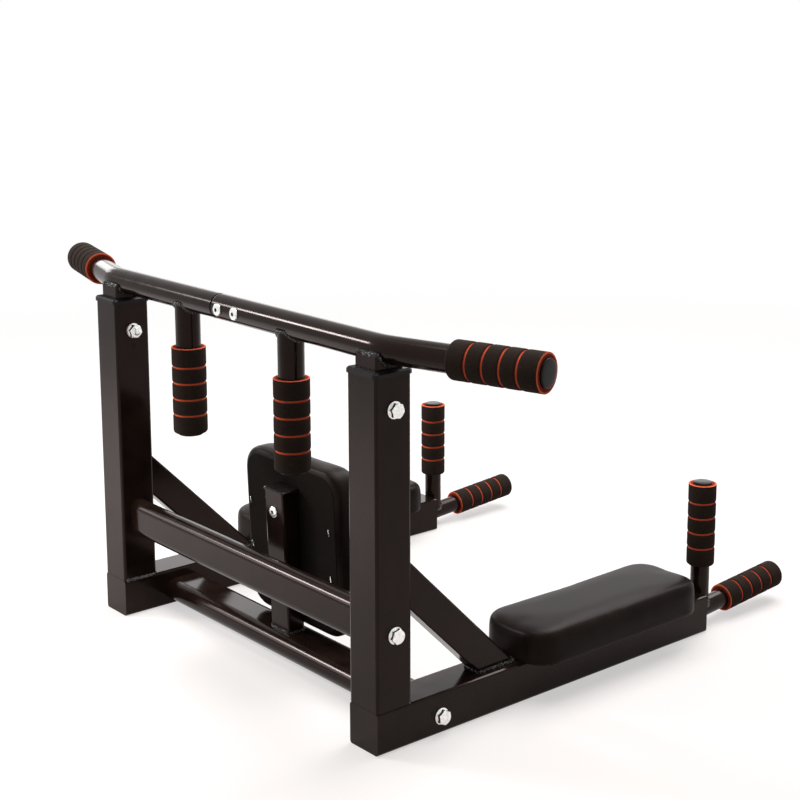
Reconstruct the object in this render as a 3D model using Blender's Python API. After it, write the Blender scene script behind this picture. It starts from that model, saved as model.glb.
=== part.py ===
"""Two-in-one wall frame for pull-ups and dips, in metres with +Z up.

X runs along the bar and Y from the wall towards the handles. While the pieces are built, Y = 0 is the wall
plane, Z = 0 the underside of the arms and X = 0 midway between the uprights. At the end everything moves
along Y, so that the zero lies under the middle of the frame.
"""

from math import cos, pi, radians, sin, sqrt, tan

import bmesh
import bpy
from mathutils import Matrix, Vector

# Gap kept between touching pieces
SEAT = 0.0003

# Square tube of the uprights and the arms
TUBE_SIDE = 0.050
TUBE_WALL = 0.002
TUBE_CORNER = 0.003
UPRIGHT_SPACING = 0.548
UPRIGHT_LENGTH = 0.385
ARM_LENGTH = 0.566
ARM_END_WALL = 0.004

# Brace between each arm and its upright, at 45 degrees
BRACE_WIDTH = 0.025
BRACE_DEPTH = 0.040
BRACE_WALL = 0.0015
BRACE_CORNER = 0.0025
BRACE_REACH = 0.144

# Pull-up bar, in two halves on an inner sleeve
BAR_DIAMETER = 0.032
BAR_WALL = 0.002
BAR_SEAM = -0.035
BEND_PAST_UPRIGHT = 0.010
BEND_ANGLE = radians(15.6)
BEND_RADIUS = 0.090
BAR_END_BARE = 0.0895
SLEEVE_WALL = 0.002
SLEEVE_PAST_SEAM = 0.060
SLEEVE_PAST_BOLT = 0.024
BAR_BOLT_REACH = 0.018

# Stub under the bar, and the collar that guides it in the upright
COLLAR_WALL = 0.0034
COLLAR_LIP = 0.002
COLLAR_HEIGHT = 0.0065
COLLAR_TO_BOLT = 0.004
STUB_WALL = 0.0015
STUB_CORNER = 0.0025
STUB_SHOWN = 0.0055
STUB_PAST_BOLT = 0.057
SADDLE_DROP = 0.0045
TOP_BOLT_DROP = 0.037
DIMPLE_DIAMETER = 0.005
DIMPLE_DEPTH = 0.001
DIMPLE_DROP = 0.020

# Tubes that hang under the bar
HANGING_REACH = 0.111
HANGING_BARE = 0.0635

# Foam grips and end plugs
GRIP_LENGTH = 0.1125
GRIP_WALL = 0.006
GRIP_END_BAND = 0.025
GROOVE_COUNT = 4
GROOVE_WIDTH = 0.0026
GROOVE_DEPTH = 0.0014
GRIP_CHAMFER = 0.001
GRIP_ROUND = 0.004
PLUG_RIM = 0.002
PLUG_DOME = 0.0032
PLUG_DEPTH = 0.014

# Handle tubes at the far ends of the arms
HANDLE_DIAMETER = 0.025
HANDLE_WALL = 0.002
FORWARD_HEIGHT = 0.0205
FORWARD_TILT = radians(4.7)
FORWARD_BARE = 0.0595
VERTICAL_BARE = 0.065

# Flat-oval cross beams
BEAM_WALL = 0.0015
BEAM_END_WALL = 0.008
MID_BEAM_DEPTH = 0.025
MID_BEAM_HEIGHT = 0.050
MID_BEAM_LEVEL = 0.1388
LOW_BEAM_DEPTH = 0.060
LOW_BEAM_HEIGHT = 0.030
LOW_BEAM_LEVEL = 0.022
LOW_BEAM_REACH = 0.094

# Post of the back rest
POST_WIDTH = 0.040
POST_DEPTH = 0.025
POST_WALL = 0.0015
POST_CORNER = 0.003
POST_LENGTH = 0.186
POST_LEAN = radians(2.3)
POST_BOLT_DROP = 0.026
POST_BOLT_SPACING = 0.100
CAP_LIP = 0.0012
CAP_HEIGHT = 0.0035
CAP_DEPTH = 0.015

# Pads on plywood boards
BOARD_THICKNESS = 0.012
BOARD_INSET = 0.004
BOARD_SKIN = 0.003
PAD_EDGE = 0.013
PAD_CROWN = 0.004
PAD_DRAW = 0.0015
BACK_PAD_WIDTH = 0.206
BACK_PAD_HEIGHT = 0.2235
BACK_PAD_LIFT = 0.002
BACK_PAD_THICKNESS = 0.042
BACK_PAD_CORNER = 0.034
ARM_PAD_WIDTH = 0.114
ARM_PAD_THICKNESS = 0.044
ARM_PAD_CORNER = 0.034
ARM_PAD_TO_BRACE = 0.0017
ARM_PAD_SETBACK = 0.041
ARM_PAD_BOLT_INSET = 0.062

# Bolts, whose heads, nuts and washers follow their diameter as the standard ones do
BIG_BOLT = 0.010
SMALL_BOLT = 0.008
BOLT_CLEARANCE = 0.0006
BOLT_TIP_GAP = 0.001
ACCESS_CLEARANCE = 0.003
THREAD_SHOWN = 0.004
TIP_CHAMFER = 0.001
WASHER_THICKNESS = 0.002
WASHER_RATIO = 2.0
HEX_RATIO = 1.6
HEX_HEAD_RATIO = 0.65
NUT_RATIO = 0.8
BUTTON_RATIO = 1.9
BUTTON_HEIGHT_RATIO = 0.55

# Facets
ROUND_SIDES = 24
GRIP_SIDES = 16
BOLT_SIDES = 12
CORNER_STEPS = 2
OVAL_STEPS = 4
BEND_STEPS = 4
PAD_SIDE_STEPS = 4

# Colour, roughness and metallic value of each finish
FINISHES = {
    "powder_coat": ((0.012, 0.010, 0.010), 0.32, 0.0),
    "foam": ((0.016, 0.014, 0.012), 0.90, 0.0),
    "plastic": ((0.014, 0.013, 0.013), 0.45, 0.0),
    "vinyl": ((0.018, 0.015, 0.015), 0.50, 0.0),
    "plywood": ((0.300, 0.190, 0.100), 0.80, 0.0),
    "zinc": ((0.620, 0.620, 0.600), 0.28, 1.0),
}

# Directions and sides
RIGHT = Vector((1, 0, 0))
AHEAD = Vector((0, 1, 0))
UP = Vector((0, 0, 1))
SIDES = {"left": -1, "right": 1}

# Sizes and places that follow from the ones above
TUBE_BORE = TUBE_SIDE - 2 * TUBE_WALL
TUBE_MIDDLE = TUBE_SIDE / 2
UPRIGHT_TOP = TUBE_SIDE + UPRIGHT_LENGTH
BIG_HOLE = BIG_BOLT + BOLT_CLEARANCE
SMALL_HOLE = SMALL_BOLT + BOLT_CLEARANCE
TOP_BOLT_LEVEL = UPRIGHT_TOP - TOP_BOLT_DROP
STUB_SIDE = TUBE_BORE - 2 * COLLAR_WALL - 4 * SEAT
BAR_BORE = BAR_DIAMETER - 2 * BAR_WALL
BAR_RISE = COLLAR_HEIGHT + STUB_SHOWN + BAR_DIAMETER / 2
BAR_AXIS = Vector((0, TUBE_MIDDLE, UPRIGHT_TOP + BAR_RISE))
BEND_REACH = UPRIGHT_SPACING / 2 + BEND_PAST_UPRIGHT
HANDLE_BORE = HANDLE_DIAMETER - 2 * HANDLE_WALL
BOARD_HOLE = BOARD_THICKNESS - BOARD_SKIN
BRACE_FOOT_END = TUBE_SIDE + BRACE_REACH + BRACE_DEPTH / sqrt(2)
ARM_PAD_START = BRACE_FOOT_END + ARM_PAD_TO_BRACE
ARM_PAD_END = ARM_LENGTH - ARM_PAD_SETBACK


# Scene and objects


def clear_scene():
    for obj in list(bpy.data.objects):
        bpy.data.objects.remove(obj, do_unlink=True)


def material(finish):
    """The Principled material of a finish, made when it is first asked for."""
    look = bpy.data.materials.get(finish)
    if look is None:
        colour, roughness, metallic = FINISHES[finish]
        look = bpy.data.materials.new(finish)
        look.use_nodes = True
        shader = look.node_tree.nodes["Principled BSDF"]
        shader.inputs["Base Color"].default_value = (*colour, 1.0)
        shader.inputs["Roughness"].default_value = roughness
        shader.inputs["Metallic"].default_value = metallic
        look.diffuse_color = (*colour, 1.0)
    return look


def add_object(name, bm, finish):
    """The mesh as an object, smooth on its rounds and sharp at its edges. A cutter has no finish."""
    bmesh.ops.recalc_face_normals(bm, faces=bm.faces)
    mesh = bpy.data.meshes.new(name)
    bm.to_mesh(mesh)
    bm.free()
    mesh.shade_smooth()
    mesh.set_sharp_from_angle(angle=radians(32))
    obj = bpy.data.objects.new(name, mesh)
    bpy.context.scene.collection.objects.link(obj)
    if finish:
        mesh.materials.append(material(finish))
    return obj


def placed(obj, origin, along=UP):
    """Puts an object at its origin with its local Z along the piece, and its local X on X or else on Z."""
    z = Vector(along).normalized()
    across = UP if abs(z.x) > 0.9 else RIGHT
    x = (across - across.dot(z) * z).normalized()
    obj.matrix_basis = Matrix((x, z.cross(x), z)).transposed().to_4x4()
    obj.location = origin
    return obj


def side_x(side):
    return side * UPRIGHT_SPACING / 2


# Outlines, as lists of (x, y)


def circle(diameter, sides=ROUND_SIDES):
    turns = [2 * pi * i / sides for i in range(sides)]
    return [(diameter / 2 * cos(turn), diameter / 2 * sin(turn)) for turn in turns]


def hexagon(across_flats):
    """A hexagon with as many points as the circles that it is lofted to."""
    outline = []
    for i in range(BOLT_SIDES):
        turn = 2 * pi * i / BOLT_SIDES
        radius = across_flats / 2 / cos(turn % (pi / 3) - pi / 6)
        outline.append((radius * cos(turn), radius * sin(turn)))
    return outline


def rounded(width, depth, corner, steps=CORNER_STEPS, side_steps=1, draw=0.0):
    """A rounded rectangle, whose sides may be drawn in a little between the corners."""
    outline = []
    reach_x = width / 2 - corner
    reach_y = depth / 2 - corner
    signs = ((1, 1), (-1, 1), (-1, -1), (1, -1))
    for quarter, (sign_x, sign_y) in enumerate(signs):
        centre = Vector((sign_x * reach_x, sign_y * reach_y))
        for step in range(steps + 1):
            turn = pi / 2 * (quarter + step / steps)
            outline.append((centre.x + corner * cos(turn), centre.y + corner * sin(turn)))
        normal = Vector((-sin(quarter * pi / 2), cos(quarter * pi / 2)))
        run = 2 * (reach_y if quarter % 2 else reach_x)
        for step in range(1, side_steps):
            share = step / side_steps
            point = centre + (corner - draw * sin(pi * share)) * normal + run * share * normal.orthogonal()
            outline.append((point.x, point.y))
    return outline


def scaled(outline, share):
    return [(x * share, y * share) for x, y in outline]


def ring(outline, height, slope=0.0):
    """The outline at a height, or cut off aslant by a plane that climbs along local Y."""
    return [Vector((x, y, height + slope * y)) for x, y in outline]


# Solids


def lofted(name, rings, finish=None, wall=False):
    """A solid through the rings, with its ends filled, or a wall whose last ring joins its first."""
    bm = bmesh.new()
    loops = [[bm.verts.new(point) for point in points] for points in rings]
    pairs = list(zip(loops, loops[1:]))
    if wall:
        pairs.append((loops[-1], loops[0]))
    else:
        bm.faces.new(loops[0])
        bm.faces.new(loops[-1])
    for first, second in pairs:
        for i in range(len(first)):
            j = (i + 1) % len(first)
            bm.faces.new((first[i], first[j], second[j], second[i]))
    return add_object(name, bm, finish)


def tube(name, outer, inner, length, finish, start_slope=0.0, end_slope=0.0):
    """An open tube along local Z, cut square or mitred at each end."""
    rings = [
        ring(outer, 0, start_slope),
        ring(outer, length, end_slope),
        ring(inner, length, end_slope),
        ring(inner, 0, start_slope),
    ]
    return lofted(name, rings, finish, wall=True)


def prism(name, outline, start, end, like):
    """A cutter along local Z, standing where another object stands."""
    cutter = lofted(name, [ring(outline, start), ring(outline, end)])
    cutter.matrix_basis = like.matrix_basis.copy()
    return cutter


def spun(name, profile, finish, sides):
    """A closed profile of (radius, height) turned about local Z."""
    bm = bmesh.new()
    corners = [bm.verts.new((radius, 0, height)) for radius, height in profile]
    edges = [bm.edges.new(pair) for pair in zip(corners, corners[1:] + corners[:1])]
    bmesh.ops.spin(bm, geom=corners + edges, cent=(0, 0, 0), axis=UP, angle=2 * pi, steps=sides)
    bmesh.ops.remove_doubles(bm, verts=bm.verts, dist=1e-6)
    return add_object(name, bm, finish)


def cut(target, cutter):
    """Takes the cutter's volume out of the target."""
    cutter.hide_render = True
    cutter.display_type = "WIRE"
    modifier = target.modifiers.new(cutter.name, "BOOLEAN")
    modifier.operation = "DIFFERENCE"
    modifier.solver = "EXACT"
    modifier.object = cutter


def drill(target, holes):
    """Drills holes given as (centre, axis, diameter, length), with flats that clear the diameter."""
    bm = bmesh.new()
    for centre, axis, diameter, length in holes:
        turned = Vector(axis).to_track_quat("Z", "Y").to_matrix().to_4x4()
        turned.translation = Vector(centre)
        radius = diameter / 2 / cos(pi / BOLT_SIDES)
        bmesh.ops.create_cone(
            bm,
            cap_ends=True,
            segments=BOLT_SIDES,
            radius1=radius,
            radius2=radius,
            depth=length,
            matrix=turned,
        )
    cut(target, add_object(target.name + "_holes", bm, None))


# Bolts, each with its washers and its nut as one solid


def washer_rings(diameter, start):
    """A washer's two rims, from its start to one thickness further."""
    rim = circle(diameter, BOLT_SIDES)
    return [ring(rim, start), ring(rim, start + WASHER_THICKNESS)]


def hex_head(size):
    """A hex head on its washer, from the top of the head down to the seat at zero."""
    under = -WASHER_THICKNESS
    top = under - HEX_HEAD_RATIO * size
    hexagon_outline = hexagon(HEX_RATIO * size)
    crown = [
        ring(circle(HEX_RATIO * size - 2 * TIP_CHAMFER, BOLT_SIDES), top),
        ring(hexagon_outline, top + TIP_CHAMFER),
        ring(hexagon_outline, under),
    ]
    return crown + washer_rings(WASHER_RATIO * size, under)


def button_head(size):
    """A domed head, from its top down to the seat at zero."""
    diameter = BUTTON_RATIO * size
    height = BUTTON_HEIGHT_RATIO * size
    dome = ((0.5, 1.0), (0.85, 0.72), (1.0, 0.25), (1.0, 0.0))
    return [ring(circle(diameter * width, BOLT_SIDES), -height * rise) for width, rise in dome]


def bolt(name, seat, along, head, size, length):
    """A bolt that ends in the piece that it is screwed into."""
    shank = circle(size, BOLT_SIDES)
    rings = [ring(shank, 0), ring(shank, length - TIP_CHAMFER)]
    rings.append(ring(circle(size - 2 * TIP_CHAMFER, BOLT_SIDES), length))
    return placed(lofted(name, head + rings, "zinc"), seat, along)


def bolt_and_nut(name, seat, along, head, size, grip):
    """A bolt right through the clamped pieces, with a washer and a nut on its end."""
    shank = circle(size, BOLT_SIDES)
    nut = hexagon(HEX_RATIO * size)
    nut_start = grip + WASHER_THICKNESS
    nut_end = nut_start + NUT_RATIO * size
    rings = [ring(shank, 0), ring(shank, grip)]
    rings += washer_rings(WASHER_RATIO * size, grip)
    rings += [ring(nut, nut_start), ring(nut, nut_end)]
    rings += [ring(shank, nut_end), ring(shank, nut_end + THREAD_SHOWN)]
    return placed(lofted(name, head + rings, "zinc"), seat, along)


# Welded frame: arms, uprights and braces


def build_arm(side, name):
    outer = rounded(TUBE_SIDE, TUBE_SIDE, TUBE_CORNER)
    inner = rounded(TUBE_BORE, TUBE_BORE, TUBE_CORNER - TUBE_WALL)
    arm = lofted(f"arm_{name}", [ring(outer, 0), ring(outer, ARM_LENGTH)], "powder_coat")
    placed(arm, (side_x(side), 0, TUBE_MIDDLE), AHEAD)
    cut(arm, prism(f"arm_{name}_bore", inner, ARM_END_WALL, ARM_LENGTH - ARM_END_WALL, arm))
    access = WASHER_RATIO * SMALL_BOLT + ACCESS_CLEARANCE
    holes = [((side_x(side), LOW_BEAM_REACH, LOW_BEAM_LEVEL), RIGHT, BIG_HOLE, 2 * TUBE_SIDE)]
    for y in arm_pad_bolt_places():
        holes.append(((side_x(side), y, TUBE_SIDE), UP, SMALL_HOLE, 4 * TUBE_WALL))
        holes.append(((side_x(side), y, 0), UP, access, 4 * TUBE_WALL))
    drill(arm, holes)


def build_upright(side, name):
    outer = rounded(TUBE_SIDE, TUBE_SIDE, TUBE_CORNER)
    inner = rounded(TUBE_BORE, TUBE_BORE, TUBE_CORNER - TUBE_WALL)
    x = side_x(side)
    upright = tube(f"upright_{name}", outer, inner, UPRIGHT_LENGTH - SEAT, "powder_coat")
    placed(upright, (x, TUBE_MIDDLE, TUBE_SIDE + SEAT))
    levels = (TOP_BOLT_LEVEL, MID_BEAM_LEVEL)
    holes = [((x, TUBE_MIDDLE, level), RIGHT, BIG_HOLE, 2 * TUBE_SIDE) for level in levels]
    dimple = (x - side * TUBE_SIDE / 2, TUBE_MIDDLE, TOP_BOLT_LEVEL - DIMPLE_DROP)
    holes.append((dimple, RIGHT, DIMPLE_DIAMETER, 2 * DIMPLE_DEPTH))
    drill(upright, holes)


def build_brace(side, name):
    outer = rounded(BRACE_WIDTH, BRACE_DEPTH, BRACE_CORNER)
    width = BRACE_WIDTH - 2 * BRACE_WALL
    depth = BRACE_DEPTH - 2 * BRACE_WALL
    inner = rounded(width, depth, BRACE_CORNER - BRACE_WALL)
    rise = BRACE_REACH - 2 * SEAT
    brace = tube(f"brace_{name}", outer, inner, rise * sqrt(2), "powder_coat", -1.0, 1.0)
    placed(brace, (side_x(side), TUBE_SIDE + SEAT + rise, TUBE_SIDE + SEAT), (0, -1, 1))


def build_frame_bolts(side, name):
    """Hex bolts of one side: through the stub, and into the ends of the middle and the low beam."""
    x = side * (UPRIGHT_SPACING / 2 + TUBE_SIDE / 2 + SEAT)
    inwards = -side * RIGHT
    head = hex_head(BIG_BOLT)
    grip = TUBE_SIDE + 2 * SEAT
    into_beam = grip + BEAM_END_WALL + THREAD_SHOWN
    bolt_and_nut(f"top_bolt_{name}", (x, TUBE_MIDDLE, TOP_BOLT_LEVEL), inwards, head, BIG_BOLT, grip)
    bolt(f"mid_bolt_{name}", (x, TUBE_MIDDLE, MID_BEAM_LEVEL), inwards, head, BIG_BOLT, into_beam)
    bolt(f"low_bolt_{name}", (x, LOW_BEAM_REACH, LOW_BEAM_LEVEL), inwards, head, BIG_BOLT, into_beam)


def build_beam(name, depth, height, y, z):
    """A flat-oval beam between the two sides, with a drilled wall in each end."""
    length = UPRIGHT_SPACING - TUBE_SIDE - 2 * SEAT
    corner = (min(depth, height) - BEAM_WALL) / 2
    bore_height = height - 2 * BEAM_WALL
    bore_depth = depth - 2 * BEAM_WALL
    outer = rounded(height, depth, corner, OVAL_STEPS)
    inner = rounded(bore_height, bore_depth, corner - BEAM_WALL, OVAL_STEPS)
    beam = lofted(name, [ring(outer, 0), ring(outer, length)], "powder_coat")
    placed(beam, (-length / 2, y, z), RIGHT)
    cut(beam, prism(f"{name}_bore", inner, BEAM_END_WALL, length - BEAM_END_WALL, beam))
    ends = [(side * length / 2, y, z) for side in SIDES.values()]
    drill(beam, [(end, RIGHT, BIG_HOLE, 3 * BEAM_END_WALL) for end in ends])


# Bar assembly


def bar_end_direction(side):
    return Vector((side * cos(BEND_ANGLE), sin(BEND_ANGLE), 0))


def bar_end_run():
    return BAR_END_BARE + GRIP_LENGTH


def bar_rings(side, outline, start):
    """Rings along one half of the bar: straight, round the bend and out to the tip, from the bar's middle."""
    trim = BEND_RADIUS * tan(BEND_ANGLE / 2)
    bend_centre = Vector((side * (BEND_REACH - trim), BEND_RADIUS, 0))
    stations = [(Vector((start, 0, 0)), 0.0)]
    for step in range(BEND_STEPS + 1):
        turn = BEND_ANGLE * step / BEND_STEPS
        spoke = Vector((side * sin(turn), -cos(turn), 0))
        stations.append((bend_centre + BEND_RADIUS * spoke, turn))
    tip = Vector((side * BEND_REACH, 0, 0)) + bar_end_run() * bar_end_direction(side)
    stations.append((tip, BEND_ANGLE))
    rings = []
    for centre, turn in stations:
        normal = Vector((-side * sin(turn), cos(turn), 0))
        rings.append([centre + x * normal + y * UP for x, y in outline])
    return rings


def bar_cutter(name):
    """The whole bar with the seat gap round it, for the tubes that are notched to fit under it."""
    outline = circle(BAR_DIAMETER + 2 * SEAT)
    left_rings = bar_rings(-1, outline, 0)[1:]
    right_rings = bar_rings(1, outline, 0)[1:]
    return placed(lofted(name, left_rings[::-1] + right_rings), BAR_AXIS)


def bar_bolt_holes():
    places = [BAR_AXIS + side * BAR_BOLT_REACH * RIGHT for side in SIDES.values()]
    return [(place, AHEAD, SMALL_HOLE, 2 * BAR_DIAMETER) for place in places]


def build_bar():
    for name, side in SIDES.items():
        start = BAR_SEAM + max(side, 0) * SEAT
        outer = bar_rings(side, circle(BAR_DIAMETER), start)
        inner = bar_rings(side, circle(BAR_BORE), start)
        bar = lofted(f"bar_{name}", outer + inner[::-1], "powder_coat", wall=True)
        placed(bar, BAR_AXIS)
        if side > 0:
            drill(bar, bar_bolt_holes())


def build_bar_sleeve():
    start = BAR_SEAM - SLEEVE_PAST_SEAM
    end = BAR_BOLT_REACH + SLEEVE_PAST_BOLT
    outer_diameter = BAR_BORE - 2 * SEAT
    outer = circle(outer_diameter, GRIP_SIDES)
    inner = circle(outer_diameter - 2 * SLEEVE_WALL, GRIP_SIDES)
    sleeve = tube("bar_sleeve", outer, inner, end - start, "powder_coat")
    placed(sleeve, BAR_AXIS + start * RIGHT, RIGHT)
    drill(sleeve, bar_bolt_holes())


def build_bar_bolts():
    for name, side in SIDES.items():
        seat = BAR_AXIS + side * BAR_BOLT_REACH * RIGHT - (BAR_DIAMETER / 2 + SEAT) * AHEAD
        grip = BAR_DIAMETER + 2 * SEAT
        bolt_and_nut(f"bar_bolt_{name}", seat, AHEAD, button_head(SMALL_BOLT), SMALL_BOLT, grip)


def build_bar_ends():
    """The foam grips' orange ends face the same way along the bar on both sides."""
    for name, side in SIDES.items():
        outwards = bar_end_direction(side)
        tip = BAR_AXIS + side * BEND_REACH * RIGHT + bar_end_run() * outwards
        if side > 0:
            build_grip(f"bar_grip_{name}", tip, -outwards, BAR_DIAMETER)
        else:
            build_grip(f"bar_grip_{name}", tip - GRIP_LENGTH * outwards, outwards, BAR_DIAMETER)
        build_plug(f"bar_plug_{name}", tip, outwards, BAR_DIAMETER, BAR_BORE)


def build_stub(side, name):
    """The square stub that is welded under the bar and slides down into the upright."""
    top = BAR_RISE - SADDLE_DROP
    bottom = -TOP_BOLT_DROP - STUB_PAST_BOLT
    bore = STUB_SIDE - 2 * STUB_WALL
    outer = rounded(STUB_SIDE, STUB_SIDE, STUB_CORNER)
    inner = rounded(bore, bore, STUB_CORNER - STUB_WALL)
    stub = tube(f"stub_{name}", outer, inner, top - bottom, "powder_coat")
    placed(stub, (side_x(side), TUBE_MIDDLE, UPRIGHT_TOP + bottom))
    cut(stub, bar_cutter(f"stub_{name}_notch"))
    drill(stub, [((side_x(side), TUBE_MIDDLE, TOP_BOLT_LEVEL), RIGHT, BIG_HOLE, 2 * STUB_SIDE)])


def build_collar(side, name):
    """The plastic collar in the upright's mouth, which the stub slides in."""
    depth = TOP_BOLT_DROP - BIG_HOLE / 2 - COLLAR_TO_BOLT
    hole_side = STUB_SIDE + 2 * SEAT
    sleeve_side = TUBE_BORE - 2 * SEAT
    lip_side = TUBE_SIDE + 2 * COLLAR_LIP
    hole = rounded(hole_side, hole_side, STUB_CORNER + SEAT)
    sleeve = rounded(sleeve_side, sleeve_side, TUBE_CORNER - TUBE_WALL)
    lip = rounded(lip_side, lip_side, TUBE_CORNER + COLLAR_LIP)
    lip_top = rounded(TUBE_SIDE, TUBE_SIDE, TUBE_CORNER)
    rings = [
        ring(hole, -depth),
        ring(sleeve, -depth),
        ring(sleeve, 0),
        ring(lip, 0),
        ring(lip, COLLAR_HEIGHT - COLLAR_LIP),
        ring(lip_top, COLLAR_HEIGHT),
        ring(hole, COLLAR_HEIGHT),
    ]
    collar = lofted(f"collar_{name}", rings, "plastic", wall=True)
    placed(collar, (side_x(side), TUBE_MIDDLE, UPRIGHT_TOP + SEAT))


def build_hanging_tube(side, name):
    drop = HANGING_BARE + GRIP_LENGTH
    bottom = BAR_AXIS + side * HANGING_REACH * RIGHT - drop * UP
    outer = circle(BAR_DIAMETER)
    inner = circle(BAR_BORE)
    hanging = tube(f"hanging_tube_{name}", outer, inner, drop - SADDLE_DROP, "powder_coat")
    placed(hanging, bottom)
    cut(hanging, bar_cutter(f"hanging_tube_{name}_notch"))
    build_grip(f"hanging_grip_{name}", bottom + GRIP_LENGTH * UP, -UP, BAR_DIAMETER)
    build_plug(f"hanging_plug_{name}", bottom, -UP, BAR_DIAMETER, BAR_BORE)


# Foam grips and plugs


def build_grip(name, flat_end, along, tube_diameter):
    """A foam sleeve with grooves, from its flat end along to its rounded end."""
    bore = (tube_diameter / 2 + SEAT) / cos(pi / GRIP_SIDES)
    skin = tube_diameter / 2 + GRIP_WALL
    band = (GRIP_LENGTH - 2 * GRIP_END_BAND) / (GROOVE_COUNT - 1)
    profile = [(bore, 0), (skin - GRIP_CHAMFER, 0), (skin, GRIP_CHAMFER)]
    for groove in range(GROOVE_COUNT):
        middle = GRIP_END_BAND + groove * band
        profile.append((skin, middle - GROOVE_WIDTH / 2))
        profile.append((skin - GROOVE_DEPTH, middle))
        profile.append((skin, middle + GROOVE_WIDTH / 2))
    for turn in (0, pi / 4, pi / 2):
        radius = skin - GRIP_ROUND * (1 - cos(turn))
        profile.append((radius, GRIP_LENGTH - GRIP_ROUND * (1 - sin(turn))))
    profile.append((bore, GRIP_LENGTH))
    placed(spun(name, profile, "foam", GRIP_SIDES), flat_end, along)


def build_plug(name, tube_end, along, tube_diameter, bore):
    """A domed plug on a tube's end, with its stem in the bore."""
    stem = circle(bore - 2 * SEAT, GRIP_SIDES)
    rim = circle(tube_diameter, GRIP_SIDES)
    rings = [ring(stem, -PLUG_DEPTH), ring(stem, SEAT), ring(rim, SEAT), ring(rim, PLUG_RIM)]
    for share in (0.8, 0.4):
        rings.append(ring(scaled(rim, share), PLUG_RIM + PLUG_DOME * (1 - share**2)))
    placed(lofted(name, rings, "plastic"), tube_end, along)


# Handles


def build_handles(side, name):
    """The forward handle on the arm's end wall, and the vertical handle that stands on it."""
    x = side_x(side)
    ahead = Vector((0, cos(FORWARD_TILT), sin(FORWARD_TILT)))
    root = Vector((x, ARM_LENGTH + SEAT, FORWARD_HEIGHT))
    outer = circle(HANDLE_DIAMETER)
    inner = circle(HANDLE_BORE)
    length = FORWARD_BARE + GRIP_LENGTH
    forward = tube(
        f"forward_handle_{name}", outer, inner, length, "powder_coat", start_slope=-tan(FORWARD_TILT)
    )
    placed(forward, root, ahead)
    build_grip(f"forward_grip_{name}", root + FORWARD_BARE * ahead, ahead, HANDLE_DIAMETER)
    build_plug(f"forward_plug_{name}", root + length * ahead, ahead, HANDLE_DIAMETER, HANDLE_BORE)

    foot = root + HANDLE_DIAMETER / 2 * AHEAD + SADDLE_DROP * UP
    length = VERTICAL_BARE + GRIP_LENGTH - SADDLE_DROP
    vertical = tube(f"vertical_handle_{name}", outer, inner, length, "powder_coat")
    placed(vertical, foot)
    notch = circle(HANDLE_DIAMETER + 2 * SEAT)
    cut(vertical, prism(f"vertical_handle_{name}_notch", notch, -HANDLE_DIAMETER, FORWARD_BARE, forward))
    top = foot + length * UP
    build_grip(f"vertical_grip_{name}", top, -UP, HANDLE_DIAMETER)
    build_plug(f"vertical_plug_{name}", top, UP, HANDLE_DIAMETER, HANDLE_BORE)


# Pads


def build_pad(name, at, out, width, length, thickness, corner, holes):
    """A board and the crowned pad that wraps round it, with local Z pointing out of the board's back."""
    board_width = width - 2 * BOARD_INSET
    board_length = length - 2 * BOARD_INSET
    outline = rounded(board_width, board_length, corner - BOARD_INSET, OVAL_STEPS)
    board = lofted(f"{name}_board", [ring(outline, 0), ring(outline, BOARD_THICKNESS)], "plywood")
    placed(board, at, out)
    drill(board, holes)

    rim = thickness - PAD_CROWN
    shoulder = rim - PAD_EDGE
    levels = [(BOARD_INSET / 4, 0), (0, shoulder / 3), (0, shoulder)]
    for turn in (pi / 6, pi / 3, pi / 2):
        levels.append((PAD_EDGE * (1 - cos(turn)), shoulder + PAD_EDGE * sin(turn)))
    rings = []
    for inset, height in levels:
        skin_width = width - 2 * inset
        skin_length = length - 2 * inset
        outline = rounded(skin_width, skin_length, corner - inset, OVAL_STEPS, PAD_SIDE_STEPS, PAD_DRAW)
        rings.append(ring(outline, height))
    for share in (0.8, 0.5, 0.2):
        rings.append(ring(scaled(outline, share), rim + PAD_CROWN * (1 - share**2)))
    pad = placed(lofted(f"{name}_pad", rings, "vinyl"), at, out)
    pocket = rounded(
        board_width + 2 * SEAT, board_length + 2 * SEAT, corner - BOARD_INSET + SEAT, OVAL_STEPS
    )
    cut(pad, prism(f"{name}_pad_pocket", pocket, -BOARD_THICKNESS, BOARD_THICKNESS + SEAT, pad))


def arm_pad_bolt_places():
    return (ARM_PAD_START + ARM_PAD_BOLT_INSET, ARM_PAD_END - ARM_PAD_BOLT_INSET)


def build_arm_pad(side, name):
    x = side_x(side)
    back = TUBE_SIDE + SEAT
    at = (x, (ARM_PAD_START + ARM_PAD_END) / 2, back)
    length = ARM_PAD_END - ARM_PAD_START
    holes = [((x, y, back), UP, SMALL_HOLE, 2 * BOARD_HOLE) for y in arm_pad_bolt_places()]
    build_pad(f"arm_{name}", at, UP, ARM_PAD_WIDTH, length, ARM_PAD_THICKNESS, ARM_PAD_CORNER, holes)
    head = hex_head(SMALL_BOLT)
    seat_level = TUBE_SIDE - TUBE_WALL - SEAT
    reach = back + BOARD_HOLE - BOLT_TIP_GAP - seat_level
    for number, y in enumerate(arm_pad_bolt_places(), 1):
        bolt(f"arm_bolt_{name}_{number}", (x, y, seat_level), UP, head, SMALL_BOLT, reach)


# Back rest


def post_up():
    return Vector((0, -sin(POST_LEAN), cos(POST_LEAN)))


def post_ahead():
    return Vector((0, cos(POST_LEAN), sin(POST_LEAN)))


def post_point(ahead, up):
    """A point of the leaning post, from the middle of its foot on the low beam."""
    foot = Vector((0, LOW_BEAM_REACH, LOW_BEAM_LEVEL + LOW_BEAM_HEIGHT / 2 + SEAT))
    return foot + ahead * post_ahead() + up * post_up()


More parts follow.
